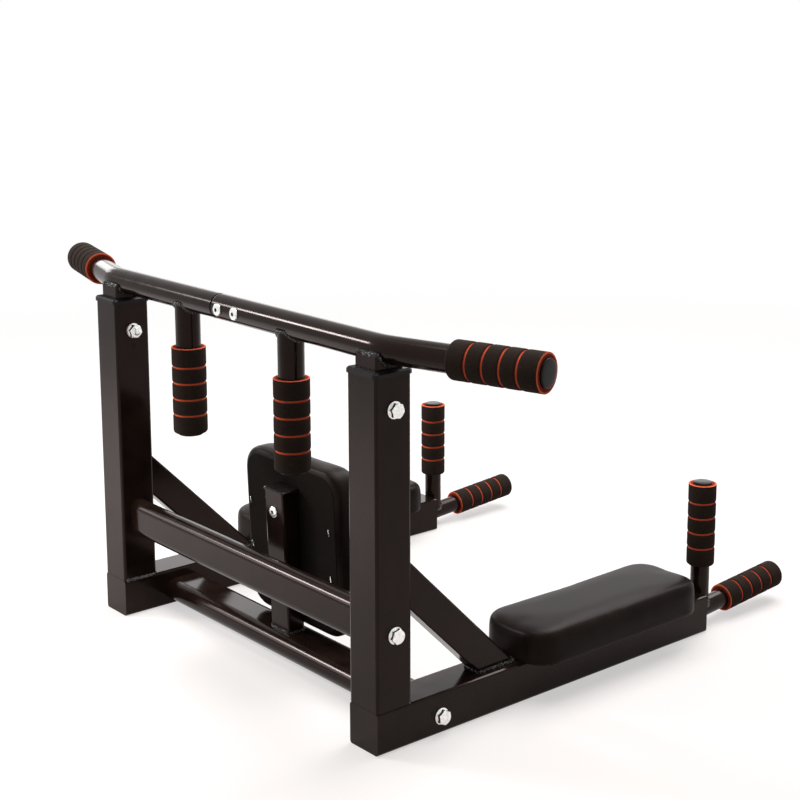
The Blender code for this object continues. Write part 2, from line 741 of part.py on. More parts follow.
def post_bolt_places():
    top = POST_LENGTH - POST_BOLT_DROP
    return (top, top - POST_BOLT_SPACING)


def build_post():
    width = POST_WIDTH - 2 * POST_WALL
    depth = POST_DEPTH - 2 * POST_WALL
    outer = rounded(POST_WIDTH, POST_DEPTH, POST_CORNER)
    inner = rounded(width, depth, POST_CORNER - POST_WALL)
    post = tube("back_post", outer, inner, POST_LENGTH, "powder_coat", start_slope=-tan(POST_LEAN))
    placed(post, post_point(0, 0), post_up())
    drill(post, [(post_point(0, up), post_ahead(), SMALL_HOLE, 2 * POST_DEPTH) for up in post_bolt_places()])


def build_post_cap():
    """The plug in the post's top, with a lip on its three free sides."""
    stem_width = POST_WIDTH - 2 * POST_WALL - 2 * SEAT
    stem_depth = POST_DEPTH - 2 * POST_WALL - 2 * SEAT
    stem = rounded(stem_width, stem_depth, POST_CORNER - POST_WALL)
    lip = rounded(POST_WIDTH + 2 * CAP_LIP, POST_DEPTH + CAP_LIP, POST_CORNER)
    lip = [(x, y - CAP_LIP / 2) for x, y in lip]
    top = rounded(POST_WIDTH, POST_DEPTH - CAP_LIP, POST_CORNER)
    rings = [
        ring(stem, -CAP_DEPTH),
        ring(stem, SEAT),
        ring(lip, SEAT),
        ring(lip, CAP_HEIGHT - CAP_LIP),
        ring(top, CAP_HEIGHT),
    ]
    placed(lofted("back_post_cap", rings, "plastic"), post_point(0, POST_LENGTH), post_up())


def build_back_pad():
    front = POST_DEPTH / 2 + SEAT
    at = post_point(front, BACK_PAD_LIFT + BACK_PAD_HEIGHT / 2)
    places = post_bolt_places()
    holes = [(post_point(front, up), post_ahead(), SMALL_HOLE, 2 * BOARD_HOLE) for up in places]
    build_pad(
        "back", at, post_ahead(), BACK_PAD_WIDTH, BACK_PAD_HEIGHT, BACK_PAD_THICKNESS, BACK_PAD_CORNER, holes
    )
    head = button_head(SMALL_BOLT)
    reach = POST_DEPTH + 2 * SEAT + BOARD_HOLE - BOLT_TIP_GAP
    for number, up in enumerate(places, 1):
        seat = post_point(-POST_DEPTH / 2 - SEAT, up)
        bolt(f"back_bolt_{number}", seat, post_ahead(), head, SMALL_BOLT, reach)


def centre_footprint():
    """Hangs the frame on one empty, so that the zero lies on the floor under the frame's middle."""
    pieces = list(bpy.context.scene.objects)
    bpy.context.view_layer.update()
    solids = [piece for piece in pieces if not piece.hide_render]
    reach = [(solid.matrix_world @ vertex.co).y for solid in solids for vertex in solid.data.vertices]
    origin = bpy.data.objects.new("frame_origin", None)
    bpy.context.scene.collection.objects.link(origin)
    origin.location.y = -(min(reach) + max(reach)) / 2
    for piece in pieces:
        piece.parent = origin


clear_scene()
for side_name, side_sign in SIDES.items():
    build_arm(side_sign, side_name)
    build_upright(side_sign, side_name)
    build_brace(side_sign, side_name)
    build_stub(side_sign, side_name)
    build_collar(side_sign, side_name)
    build_hanging_tube(side_sign, side_name)
    build_handles(side_sign, side_name)
    build_arm_pad(side_sign, side_name)
    build_frame_bolts(side_sign, side_name)
build_bar()
build_bar_sleeve()
build_bar_bolts()
build_bar_ends()
build_beam("mid_beam", MID_BEAM_DEPTH, MID_BEAM_HEIGHT, TUBE_MIDDLE, MID_BEAM_LEVEL)
build_beam("low_beam", LOW_BEAM_DEPTH, LOW_BEAM_HEIGHT, LOW_BEAM_REACH, LOW_BEAM_LEVEL)
build_post()
build_post_cap()
build_back_pad()
centre_footprint()
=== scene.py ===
"""Looks of the two-in-one wall frame for pull-ups and dips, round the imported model, in metres with +Z up.

The file follows the frame as it is put together: the welded steel and its beams first, then the bar, the
tubes under it and the handles, the collars, the foam grips and plugs, the bolts and the pads, and last the
floor, the light and the camera.
"""

from math import cos, pi, radians, sin, sqrt, tan

import bmesh
import bpy
from mathutils import Matrix, Vector, noise


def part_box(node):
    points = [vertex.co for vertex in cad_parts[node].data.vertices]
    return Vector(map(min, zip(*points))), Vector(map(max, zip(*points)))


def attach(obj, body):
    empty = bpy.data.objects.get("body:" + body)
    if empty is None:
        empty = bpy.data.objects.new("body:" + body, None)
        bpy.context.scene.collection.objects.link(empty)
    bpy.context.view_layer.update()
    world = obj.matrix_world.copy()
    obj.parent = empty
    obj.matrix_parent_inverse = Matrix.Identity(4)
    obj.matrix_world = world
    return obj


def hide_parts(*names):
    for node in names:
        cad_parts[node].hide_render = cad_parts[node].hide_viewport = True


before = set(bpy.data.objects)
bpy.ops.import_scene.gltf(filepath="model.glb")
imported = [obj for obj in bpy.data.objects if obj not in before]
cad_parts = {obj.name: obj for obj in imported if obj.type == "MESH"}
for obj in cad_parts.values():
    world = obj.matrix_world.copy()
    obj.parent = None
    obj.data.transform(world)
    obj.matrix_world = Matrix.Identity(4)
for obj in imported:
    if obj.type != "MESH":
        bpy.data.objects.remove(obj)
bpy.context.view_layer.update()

# Square and oblong tubes of the frame
# Uprights, arms, braces, stubs and the back post: cold-rolled steel tube, sawn, drilled, welded and then
# powder coated in gloss black. The solids have the tubes' real corners, walls and holes, so they stay and
# get the coat.


def linear(sheet):
    """A colour written as on screen, #rrggbb, as the linear values that a shader takes."""
    parts = [int(sheet[i : i + 2], 16) / 255 for i in (1, 3, 5)]
    return [c / 12.92 if c <= 0.04045 else ((c + 0.055) / 1.055) ** 2.4 for c in parts] + [1.0]


def add_node(finish, kind, inputs, stops=None, **settings):
    """Adds a node to a finish. Each input is a value, or the output of another node that feeds it.

    The stops of a colour ramp are given as {position: colour}.
    """
    made = finish.node_tree.nodes.new(kind)
    for name, value in settings.items():
        setattr(made, name, value)
    for number, (position, colour) in enumerate((stops or {}).items()):
        stop = made.color_ramp.elements[number]
        stop.position, stop.color = position, linear(colour)
    for name, value in inputs.items():
        if isinstance(value, bpy.types.NodeSocket):
            finish.node_tree.links.new(value, made.inputs[name])
        else:
            made.inputs[name].default_value = value
    return made.outputs


def new_finish(name, inputs):
    """A named finish, with its shader's fixed values set, its shader and its object coordinates."""
    finish = bpy.data.materials.new(name)
    finish.use_nodes = True
    shader = finish.node_tree.nodes["Principled BSDF"]
    for socket, value in inputs.items():
        shader.inputs[socket].default_value = value
    return finish, shader, add_node(finish, "ShaderNodeTexCoord", {})["Object"]


def feed(finish, shader, **links):
    """Joins outputs of nodes to the shader's sockets, whose names are written with _ for a space."""
    for name, output in links.items():
        finish.node_tree.links.new(output, shader.inputs[name.replace("_", " ")])


# Gloss black polyester powder coat: it flows out in the oven to a deep, slightly rippled skin, so that it
# mirrors the studio in long soft highlights with a faint orange peel, over a black with a trace of brown.
powder_coat, shader, place = new_finish(
    "gloss_black_powder_coat", {"Specular IOR Level": 0.15, "Specular Tint": linear("#ffdfd5")}
)
# Real orange peel is about 1.5 mm from crest to crest, drawn at 3 mm so that it shows
peel = add_node(powder_coat, "ShaderNodeTexNoise", {"Vector": place, "Scale": 1 / 0.003, "Detail": 1.0})
dust = add_node(powder_coat, "ShaderNodeTexNoise", {"Vector": place, "Scale": 1 / 0.030, "Detail": 6.0})
gloss = add_node(
    powder_coat,
    "ShaderNodeMapRange",
    {"Value": dust["Fac"], "From Min": 0.3, "From Max": 0.7, "To Min": 0.11, "To Max": 0.17},
)
shades = {0.35: "#160e0b", 0.65: "#1f1511"}
tint = add_node(powder_coat, "ShaderNodeValToRGB", {"Fac": dust["Fac"]}, shades)
skin = add_node(powder_coat, "ShaderNodeBump", {"Height": peel["Fac"], "Strength": 0.06, "Distance": 0.0003})
feed(powder_coat, shader, Base_Color=tint["Color"], Roughness=gloss["Result"], Normal=skin["Normal"])

both_sides = (("left", -1), ("right", 1))


def coat(names, finish):
    """Gives solids that stay in sight their finish."""
    for name in names:
        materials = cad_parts[name].data.materials
        materials.clear()
        materials.append(finish)


coat(["back_post", "bar_sleeve"], powder_coat)
for part in ("upright", "arm", "brace", "stub"):
    coat([f"{part}_{side}" for side, sign in both_sides], powder_coat)

# Flat-oval cross beams
# Two steel tubes rolled to a flat oval, one between the uprights and one between the arms. They are bolted
# through threaded end walls, and coated like the frame. Their round edges carry the longest highlights.
beam_steps = 12
# How wide the narrow faces are that hold the shading flat beside the round edges and at the ends
flat_edge = 0.0009
end_edge = 0.0015


def alone(piece):
    """Leaves this piece as the only one selected."""
    bpy.ops.object.select_all(action="DESELECT")
    piece.select_set(True)
    bpy.context.view_layer.objects.active = piece


def edit(piece):
    """Opens this piece alone for editing, with all of it selected."""
    alone(piece)
    bpy.ops.object.mode_set(mode="EDIT")
    bpy.ops.mesh.select_all(action="SELECT")


def pick(kind, test):
    """While editing, selects only the faces or edges that pass the test.

    The test gets each one's middle point, and its normal or direction.
    """
    bpy.ops.mesh.select_all(action="DESELECT")
    bpy.ops.mesh.select_mode(type=kind)
    mesh = bmesh.from_edit_mesh(bpy.context.object.data)
    for face in mesh.faces if kind == "FACE" else ():
        face.select_set(test(face.calc_center_median(), face.normal))
    for edge in mesh.edges if kind == "EDGE" else ():
        first, second = (vertex.co for vertex in edge.verts)
        edge.select_set(test((first + second) / 2, (second - first).normalized()))
    bmesh.update_edit_mesh(bpy.context.object.data)


def done():
    """Closes the piece that is open for editing."""
    bpy.ops.object.mode_set(mode="OBJECT")


def extrude(by):
    """While editing, extrudes what is selected."""
    bpy.ops.mesh.extrude_region_move(TRANSFORM_OT_translate={"value": by})


def modify(piece, kind, **settings):
    """Adds a modifier and applies it."""
    alone(piece)
    modifier = piece.modifiers.new(kind.lower(), kind)
    for name, value in settings.items():
        setattr(modifier, name, value)
    bpy.ops.object.modifier_apply(modifier=modifier.name)


def fit(piece, name, finish, slot, *replaced, smooth=32):
    """Fixes a finished piece to the frame, under its name and with its finish, in place of the solids."""
    alone(piece)
    bpy.ops.object.transform_apply(location=True, rotation=True, scale=True)
    bpy.ops.object.shade_smooth_by_angle(angle=radians(smooth))
    piece.name = piece.data.name = name
    if not piece.data.materials:
        piece.data.materials.append(finish)
    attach(piece, "root")
    if replaced:
        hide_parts(*replaced)
    return piece


for name in ("mid_beam", "low_beam"):
    low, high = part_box(name)
    size = high - low
    round_edge = min(size.y, size.z) / 2
    bpy.ops.mesh.primitive_cube_add(size=1, location=(low + high) / 2, scale=size)
    beam = bpy.context.object
    bpy.ops.object.transform_apply(location=False, rotation=False, scale=True)
    edit(beam)
    pick("EDGE", lambda middle, along: abs(along.x) > 0.9)
    bpy.ops.mesh.bevel(offset=round_edge * 0.999, segments=beam_steps)
    bpy.ops.mesh.select_all(action="SELECT")
    bpy.ops.mesh.remove_doubles(threshold=0.00001)
    across = Vector((0, 0, 1)) if size.z > size.y else Vector((0, 1, 0))
    for end, turn in ((low, 1), (high, -1)):
        bpy.ops.mesh.select_all(action="SELECT")
        bpy.ops.mesh.bisect(plane_co=end + across * turn * (round_edge + flat_edge), plane_no=across)
    pick("FACE", lambda middle, normal: abs(normal.x) > 0.9)
    bpy.ops.mesh.inset(thickness=end_edge)
    done()
    fit(beam, f"{name}_tube", powder_coat, "powder_coat", name)

# Weld beads
# Every joint of the frame is welded all along its seam and then coated over: a low row of overlapping drops,
# about 4 mm wide, rougher than the tubes, which glints where the drops face the lamps and carries painted
# glints, light grey specks drawn into its colour.
weld_finish_painted_glints, shader, place = new_finish("coated_weld_bead_painted_glints", {"Roughness": 0.13, "Specular IOR Level": 0.7})
# The finest ripples in a drop are really 0.3 mm apart, drawn at 1.3 mm so that they show
drops = add_node(weld_finish_painted_glints, "ShaderNodeTexNoise", {"Vector": place, "Scale": 1 / 0.0013, "Detail": 3.0})
# The light grey end of the ramp is painted glints: specks drawn into the colour where the noise peaks
shades = {0.52: "#1a1614", 0.74: "#8a827c"}
tint = add_node(weld_finish_painted_glints, "ShaderNodeValToRGB", {"Fac": drops["Fac"]}, shades)
rough = add_node(weld_finish_painted_glints, "ShaderNodeBump", {"Height": drops["Fac"], "Strength": 1.0, "Distance": 0.0045})
feed(weld_finish_painted_glints, shader, Base_Color=tint["Color"], Normal=rough["Normal"])

bead_width = 0.0042
drop_pitch = 0.0030


def just_added():
    """The primitive that was just added, with its place and turn in its mesh."""
    bpy.ops.object.transform_apply(location=True, rotation=True, scale=True)
    return bpy.context.object


def placed(piece, place, along, turn=0.0):
    """Sets a piece's foot at a place and its height along a direction, turned about its height."""
    aim = Vector(along).to_track_quat("Z", "Y").to_matrix().to_4x4()
    piece.matrix_world = Matrix.Translation(place) @ aim @ Matrix.Rotation(turn, 4, "Z")
    return piece


def joined(parts):
    """Makes several parts one piece."""
    alone(parts[0])
    for part in parts[1:]:
        part.select_set(True)
    bpy.ops.object.join()
    return parts[0]


def ripple(bead, along, seed):
    """Swells and pinches a smooth bead into drops along its run. The seed makes it unlike the other beads."""
    for vertex in bead.data.vertices:
        run, middle = along(vertex.co)
        # A steady wave for the drops, a slower one that makes some of them fatter, and a fine one that
        # roughens them
        swell = 1 + 0.16 * sin(2 * pi * run / drop_pitch)
        swell += 0.45 * noise.noise(Vector((run / 0.004, seed * 7.3, 0.0)))
        swell += 0.55 * noise.noise(vertex.co / 0.0017 + Vector((seed, 0.0, 0.0)))
        vertex.co = middle + (vertex.co - middle) * swell


def straight_bead(start, end, seed, width=bead_width):
    """A bead laid in a straight seam."""
    start, end = Vector(start), Vector(end)
    length = (end - start).length
    bpy.ops.mesh.primitive_cylinder_add(
        vertices=10, radius=width / 2, depth=length, location=(0, 0, length / 2), end_fill_type="NGON"
    )
    bead = just_added()
    edit(bead)
    pick("EDGE", lambda middle, along: abs(along.z) > 0.9)
    bpy.ops.mesh.subdivide(number_cuts=max(4, int(length / 0.001)))
    pick("EDGE", lambda middle, along: abs(along.z) < 0.1 and not 0.0002 < middle.z < length - 0.0002)
    bpy.ops.mesh.bevel(offset=width * 0.35, segments=2)
    done()
    ripple(bead, lambda point: (point.z, Vector((0, 0, point.z))), seed)
    return placed(bead, start, end - start)


def weld(name, beads):
    """The beads of one joint as one piece."""
    fit(joined(beads), name, weld_finish_painted_glints, "powder_coat", smooth=60)


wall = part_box("upright_left")[0].y
half_span = 0.274
half_tube = 0.025
front_face = wall + 2 * half_tube
# A bead's middle stands this far off the faces that it joins, and its ends stop short of their corners
lift = 0.0004
brace_lift = 0.0006
foot_stop = 0.0022
foot_half_run = 0.022
brace_slant = sqrt(2) * 0.040
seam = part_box("arm_left")[1].z + lift
for side, sign in both_sides:
    middle = sign * half_span
    inner = middle - sign * half_tube
    feet = [
        straight_bead((inner, wall + foot_stop, seam), (inner, front_face - foot_stop, seam), 1 + sign),
        straight_bead(
            (middle - foot_half_run, front_face, seam), (middle + foot_half_run, front_face, seam), 4 + sign
        ),
    ]
    weld(f"weld_upright_foot_{side}", feet)

    low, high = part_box(f"brace_{side}")
    back = front_face + brace_lift
    under = seam + lift
    beads = []
    for x in (low.x - lift, high.x + lift):
        beads.append(straight_bead((x, back, high.z - brace_slant), (x, back, high.z), 9 + x))
        beads.append(straight_bead((x, high.y - brace_slant, under), (x, high.y, under), 15 + x))
    for z in (high.z, high.z - brace_slant):
        beads.append(straight_bead((low.x, back, z), (high.x, back, z), 22 + z))
    for y in (high.y, high.y - brace_slant):
        beads.append(straight_bead((low.x, y, seam), (high.x, y, seam), 31 + y))
    weld(f"weld_brace_{side}", beads)

# The back post is 40 by 25 mm tube and stands on the low beam's middle line
post_y = wall + 0.094
post_half_width, post_half_depth = 0.020, 0.0125
post_stop = 0.001
post_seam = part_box("low_beam")[1].z
beads = []
for y in (post_y - post_half_depth - 0.0001, post_y + post_half_depth + 0.0001):
    run = post_half_width - post_stop
    beads.append(straight_bead((-run, y, post_seam), (run, y, post_seam), 40 + y))
for x in (-post_half_width - 0.0002, post_half_width + 0.0002):
    run = post_half_depth - post_stop
    beads.append(straight_bead((x, post_y - run, post_seam), (x, post_y + run, post_seam), 50 + x))
weld("weld_back_post", beads)

# Pull-up bar
# Two halves of 32 mm tube, each bent once at 90 mm radius, that meet on an inner sleeve left of the middle.
# They are powder coated before they are bolted, so the seam stays a fine dark line with softened rims.
bar_radius = 0.016
bar_wall = 0.002
bar_axis = Vector((0, wall + half_tube, 0.463))
# The halves' ends at the seam. The right one stops 1.8 mm short of the left one, which shows as a dark line
bar_ends = {"left": -0.0354, "right": -0.0336}
# The corner is where the straight parts' axes would meet, and the end runs on from there
bend_corner = 0.284
bend_angle = radians(15.6)
bend_radius = 0.090
bend_run = bend_radius * tan(bend_angle / 2)
grip_length = 0.1125
bar_end_run = 0.0895 + grip_length
# A ring close to the seam keeps the long faces' shading straight up to its softened rim
seam_ring = 0.0016
seam_rim = 0.0008


def end_direction(sign):
    """Which way the bent end of the bar runs."""
    return Vector((sign * cos(bend_angle), sin(bend_angle), 0))


for side, sign in both_sides:
    start = bar_ends[side]
    bend_start = sign * (bend_corner - bend_run)
    bpy.ops.mesh.primitive_circle_add(
        vertices=64, radius=bar_radius, location=bar_axis + Vector((start, 0, 0)), rotation=(0, pi / 2, 0)
    )
    bar = just_added()
    edit(bar)
    extrude((bend_start - start, 0, 0))
    # Spin turns clockwise here for a positive angle
    centre = bar_axis + Vector((bend_start, bend_radius, 0))
    bpy.ops.mesh.spin(steps=14, angle=-sign * bend_angle, center=centre, axis=(0, 0, 1))
    straight = end_direction(sign) * (bar_end_run - bend_run)
    extrude(straight)
    bpy.ops.mesh.select_all(action="SELECT")
    bpy.ops.mesh.remove_doubles(threshold=0.00002)
    bpy.ops.mesh.normals_make_consistent(inside=False)
    bpy.ops.mesh.bisect(plane_co=(start + sign * seam_ring, 0, 0), plane_no=(1, 0, 0))
    done()
    modify(bar, "SOLIDIFY", thickness=bar_wall, offset=-1, use_even_offset=True)
    edit(bar)
    pick(
        "EDGE",
        lambda at, along: abs(at.x - start) < 0.0001 and (at - bar_axis).yz.length > bar_radius - 0.0005,
    )
    bpy.ops.mesh.bevel(offset=seam_rim, segments=2)
    done()
    fit(bar, f"pull_up_bar_{side}", powder_coat, "powder_coat", f"bar_{side}")

# Tubes that hang under the bar
# Two short tubes for a narrow grip, coped to the bar's round underside and welded on. Their lower ends carry
# a foam grip and a plug.
hanging_reach = 0.111
hanging_bottom = bar_axis.z - 0.0635 - grip_length
# Before it is coped, a tube under the bar ends this far below the bar's axis. Coped, it ends this far off
# the bar's skin
cope = 0.0045
cope_gap = 0.0003


def saddle(depth_from_axis):
    """How high the bar's round underside is, that far to the side of its axis."""
    inside = min(abs(depth_from_axis), bar_radius * 0.995)
    return bar_axis.z - sqrt(bar_radius**2 - inside**2)


def ring_bead(centre, radius, seat, seed, width=bead_width):
    """A bead laid round a tube, at the height that seat gives for each point."""
    bpy.ops.mesh.primitive_torus_add(
        major_radius=radius, minor_radius=width / 2, major_segments=96, minor_segments=8
    )
    bead = bpy.context.object

    def along(point):
        across = Vector((point.x, point.y, 0)).normalized()
        turn = Vector((1, 0)).angle_signed(across.xy, 0.0)
        return turn * radius, across * radius

    ripple(bead, along, seed)
    for vertex in bead.data.vertices:
        vertex.co += Vector((centre.x, centre.y, 0))
        vertex.co.z += seat(vertex.co)
    return bead


def open_tube(foot, run, radius, corners, turn=(0, 0, 0)):
    """The bare skin of a tube, from its foot and along its run."""
    bpy.ops.mesh.primitive_circle_add(vertices=corners, radius=radius, location=foot, rotation=turn)
    tube = just_added()
    edit(tube)
    extrude(run)
    done()
    return tube


def give_wall(tube):
    """Turns an open tube's faces outwards, and gives it its wall on the inside."""
    edit(tube)
    bpy.ops.mesh.normals_make_consistent(inside=False)
    done()
    modify(tube, "SOLIDIFY", thickness=bar_wall, offset=-1)


for side, sign in both_sides:
    bottom = Vector((sign * hanging_reach, bar_axis.y, hanging_bottom))
    rise = bar_axis.z - hanging_bottom - cope
    hanging = open_tube(bottom, (0, 0, rise), bar_radius, corners=64)
    for vertex in hanging.data.vertices:
        if vertex.co.z > hanging_bottom + rise / 2:
            vertex.co.z = min(vertex.co.z, saddle(vertex.co.y - bar_axis.y) - cope_gap)
    give_wall(hanging)
    fit(hanging, f"hanging_tube_{side}_steel", powder_coat, "powder_coat", f"hanging_tube_{side}")
    bead = ring_bead(
        bottom,
        bar_radius + 0.0006,
        lambda point: min(saddle(point.y - bar_axis.y), bar_axis.z - 0.0055) - 0.0008,
        60 + sign,
    )
    weld(f"weld_hanging_tube_{side}", [bead])

# Where the square stubs meet the bar, a bead runs along each side and follows the round at both ends
stub_top = bar_axis.z - cope
stub_half = 0.019
stub_seam = 0.0158
side_bead_width = 0.0066
for side, sign in both_sides:
    middle = sign * half_span
    beads = []
    for across in (-1, 1):
        y = bar_axis.y + across * stub_seam
        run = stub_half - 0.0005
        start, end = (middle - run, y, stub_top), (middle + run, y, stub_top)
        beads.append(straight_bead(start, end, 70 + across, side_bead_width))
        steps = [across * step for step in (0.0155, 0.0125, 0.0085, 0.0045, 0)]
        for x in (middle - stub_half - 0.0003, middle + stub_half + 0.0003):
            points = [(x, bar_axis.y + step, min(saddle(step), stub_top) - 0.0006) for step in steps]
            for start, end, step in zip(points, points[1:], steps):
                beads.append(straight_bead(start, end, 80 + across + step * 90))
    weld(f"weld_stub_{side}", beads)

# Handle tubes
# 25 mm tube: the forward handle is welded to the arm's end wall and tips up a little, and the upright handle
# is coped and welded on top of it.
handle_radius = 0.0125
forward_tilt = radians(4.7)
ahead = Vector((0, cos(forward_tilt), sin(forward_tilt)))
arm_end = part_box("arm_left")[1].y
forward_height = 0.0205
forward_run = 0.0595 + grip_length
upright_rise = 0.065 + grip_length
# The upright handle starts this far above the forward one's axis, before it is coped to its round top
upright_start = 0.0045


def handle_root(sign):
    """Where the forward handle's axis leaves the arm's end wall."""
    return Vector((sign * half_span, arm_end + 0.0003, forward_height))


def forward_top(point, root, least=0.0):
    """How high the forward handle's round top is under a point, and at least that far above its axis."""
    inside = min(abs(point.x - root.x), handle_radius * 0.995)
    above = max(sqrt(handle_radius**2 - inside**2), least)
    return root.z + above + (point.y - root.y) * tan(forward_tilt)


for side, sign in both_sides:
    root = handle_root(sign)
    square_on = (forward_tilt - pi / 2, 0, 0)
    forward = open_tube(root, ahead * forward_run, handle_radius, corners=56, turn=square_on)
    for vertex in forward.data.vertices:
        if (vertex.co - root).dot(ahead) < forward_run / 2:
            vertex.co += ahead * (root.y - vertex.co.y) / ahead.y
    give_wall(forward)
    fit(forward, f"forward_handle_{side}_steel", powder_coat, "powder_coat", f"forward_handle_{side}")

    foot = root + Vector((0, handle_radius, upright_start))
    rise = upright_rise - upright_start
    upright = open_tube(foot, (0, 0, rise), handle_radius, corners=56)
    for vertex in upright.data.vertices:
        if vertex.co.z < foot.z + rise / 2:
            vertex.co.z = max(vertex.co.z, forward_top(vertex.co, root) + cope_gap)
    give_wall(upright)
    fit(upright, f"vertical_handle_{side}_steel", powder_coat, "powder_coat", f"vertical_handle_{side}")

    bead = ring_bead(
        foot,
        handle_radius + 0.0005,
        lambda point: forward_top(point, root, least=0.005) + 0.0006,
        90 + sign,
        width=0.0034,
    )
    weld(f"weld_handles_{side}", [bead])
    bpy.ops.mesh.primitive_torus_add(
        major_radius=handle_radius + 0.0004,
        minor_radius=0.0017,
        major_segments=96,
        minor_segments=8,
        location=root + Vector((0, 0.0002, 0)),
        rotation=(pi / 2, 0, 0),
    )
    root_bead = just_added()
    root_bead.data.materials.append(weld_finish_painted_glints)
    joined([bead, root_bead])

# Collars and caps
# Injection-moulded polyethylene: the collar that guides each stub in its upright, and the cap in the back
# post. The solids carry their real lips and bevels, so they stay.

# Black polyethylene: moulded with a fine spark-eroded grain, so that it is satin, a little greyer than the
# coat, and has no sharp highlight.
moulded, shader, place = new_finish(
    "satin_black_moulded_polyethylene",
    {"Base Color": linear("#171312"), "Specular IOR Level": 0.14, "IOR": 1.51},
)
# The eroded grain is really 0.2 mm, drawn at 0.9 mm so that it shows
grain = add_node(moulded, "ShaderNodeTexNoise", {"Vector": place, "Scale": 1 / 0.0009, "Detail": 2.0})
grit = add_node(moulded, "ShaderNodeBump", {"Height": grain["Fac"], "Strength": 0.12, "Distance": 0.0002})
wear = add_node(moulded, "ShaderNodeTexNoise", {"Vector": place, "Scale": 1 / 0.012, "Detail": 4.0})
scuff = add_node(moulded, "ShaderNodeMapRange", {"Value": wear["Fac"], "To Min": 0.20, "To Max": 0.36})
feed(moulded, shader, Normal=grit["Normal"], Roughness=scuff["Result"])
coat(["collar_left", "collar_right", "back_post_cap"], moulded)

# Foam grips
# Extruded nitrile foam sleeves, pushed on with soapy water: 6 mm of black foam with four turned grooves that
# lay an orange under-layer bare, and an orange face on one end. The other end is rounded over.


def nitrile_foam(name, fixed, shades, pits=None):
    """Foam of one colour, mottled by its cells. A rubbed skin has pits, given as (strength, depth)."""
    finish, shader, place = new_finish(name, fixed)
    # Real cells are 0.3 mm, drawn at 0.8 mm so that they show
    cells = add_node(finish, "ShaderNodeTexNoise", {"Vector": place, "Scale": 1 / 0.0008, "Detail": 3.0})
    tint = add_node(finish, "ShaderNodeValToRGB", {"Fac": cells["Fac"]}, shades)
    feed(finish, shader, Base_Color=tint["Color"])
    if pits:
        skin = add_node(
            finish, "ShaderNodeBump", {"Height": cells["Fac"], "Strength": pits[0], "Distance": pits[1]}
        )
        feed(finish, shader, Normal=skin["Normal"])
    return finish


# Black nitrile foam: closed cells with a rubbed skin, so that it is quite matt, with a fine pitted grain
black_foam = nitrile_foam(
    "matt_black_nitrile_foam",
    {"Roughness": 0.95, "Specular IOR Level": 0.08},
    {0.30: "#19120f", 0.72: "#372c26"},
    pits=(0.55, 0.0004),
)
# Orange foam: the same foam, which shows as bright thin rings
orange_foam = nitrile_foam(
    "matt_orange_nitrile_foam",
    {"Roughness": 0.85, "Specular IOR Level": 0.2},
    {0.30: "#cf5230", 0.70: "#e66d48"},
    pits=(0.4, 0.0003),
)
# Inner end face: the orange foam painted a dull dark red as painted shade, which shows as a shaded ring round
# the tube
end_face_painted_shade_foam = nitrile_foam(
    "matt_orange_foam_painted_dark_red_shade",
    {"Roughness": 0.92, "Specular IOR Level": 0.15},
    {0.30: "#5a1a0e", 0.70: "#8c2e18"},
)

foam_wall = 0.006
rim_width = 0.0021
orange_edge, black_edge = 0.0005, 0.0040
tiny = 0.0001
# Across a groove, from its rolled rims to its floor: how wide it is there, and how deep it lies
roll_width = 0.0064
groove_width, roll_drop = 0.0031, 0.0004
groove_shade, black_skin = 0.0025, 0.0014
groove_floor, groove_depth = 0.0020, 0.0023
end_band = 0.025
grooves = [end_band + (grip_length - 2 * end_band) / 3 * number for number in range(4)]


def give_slot(piece, number):
    """While editing, gives the selected faces the piece's finish of that number."""
    piece.active_material_index = number
    bpy.ops.object.material_slot_assign()


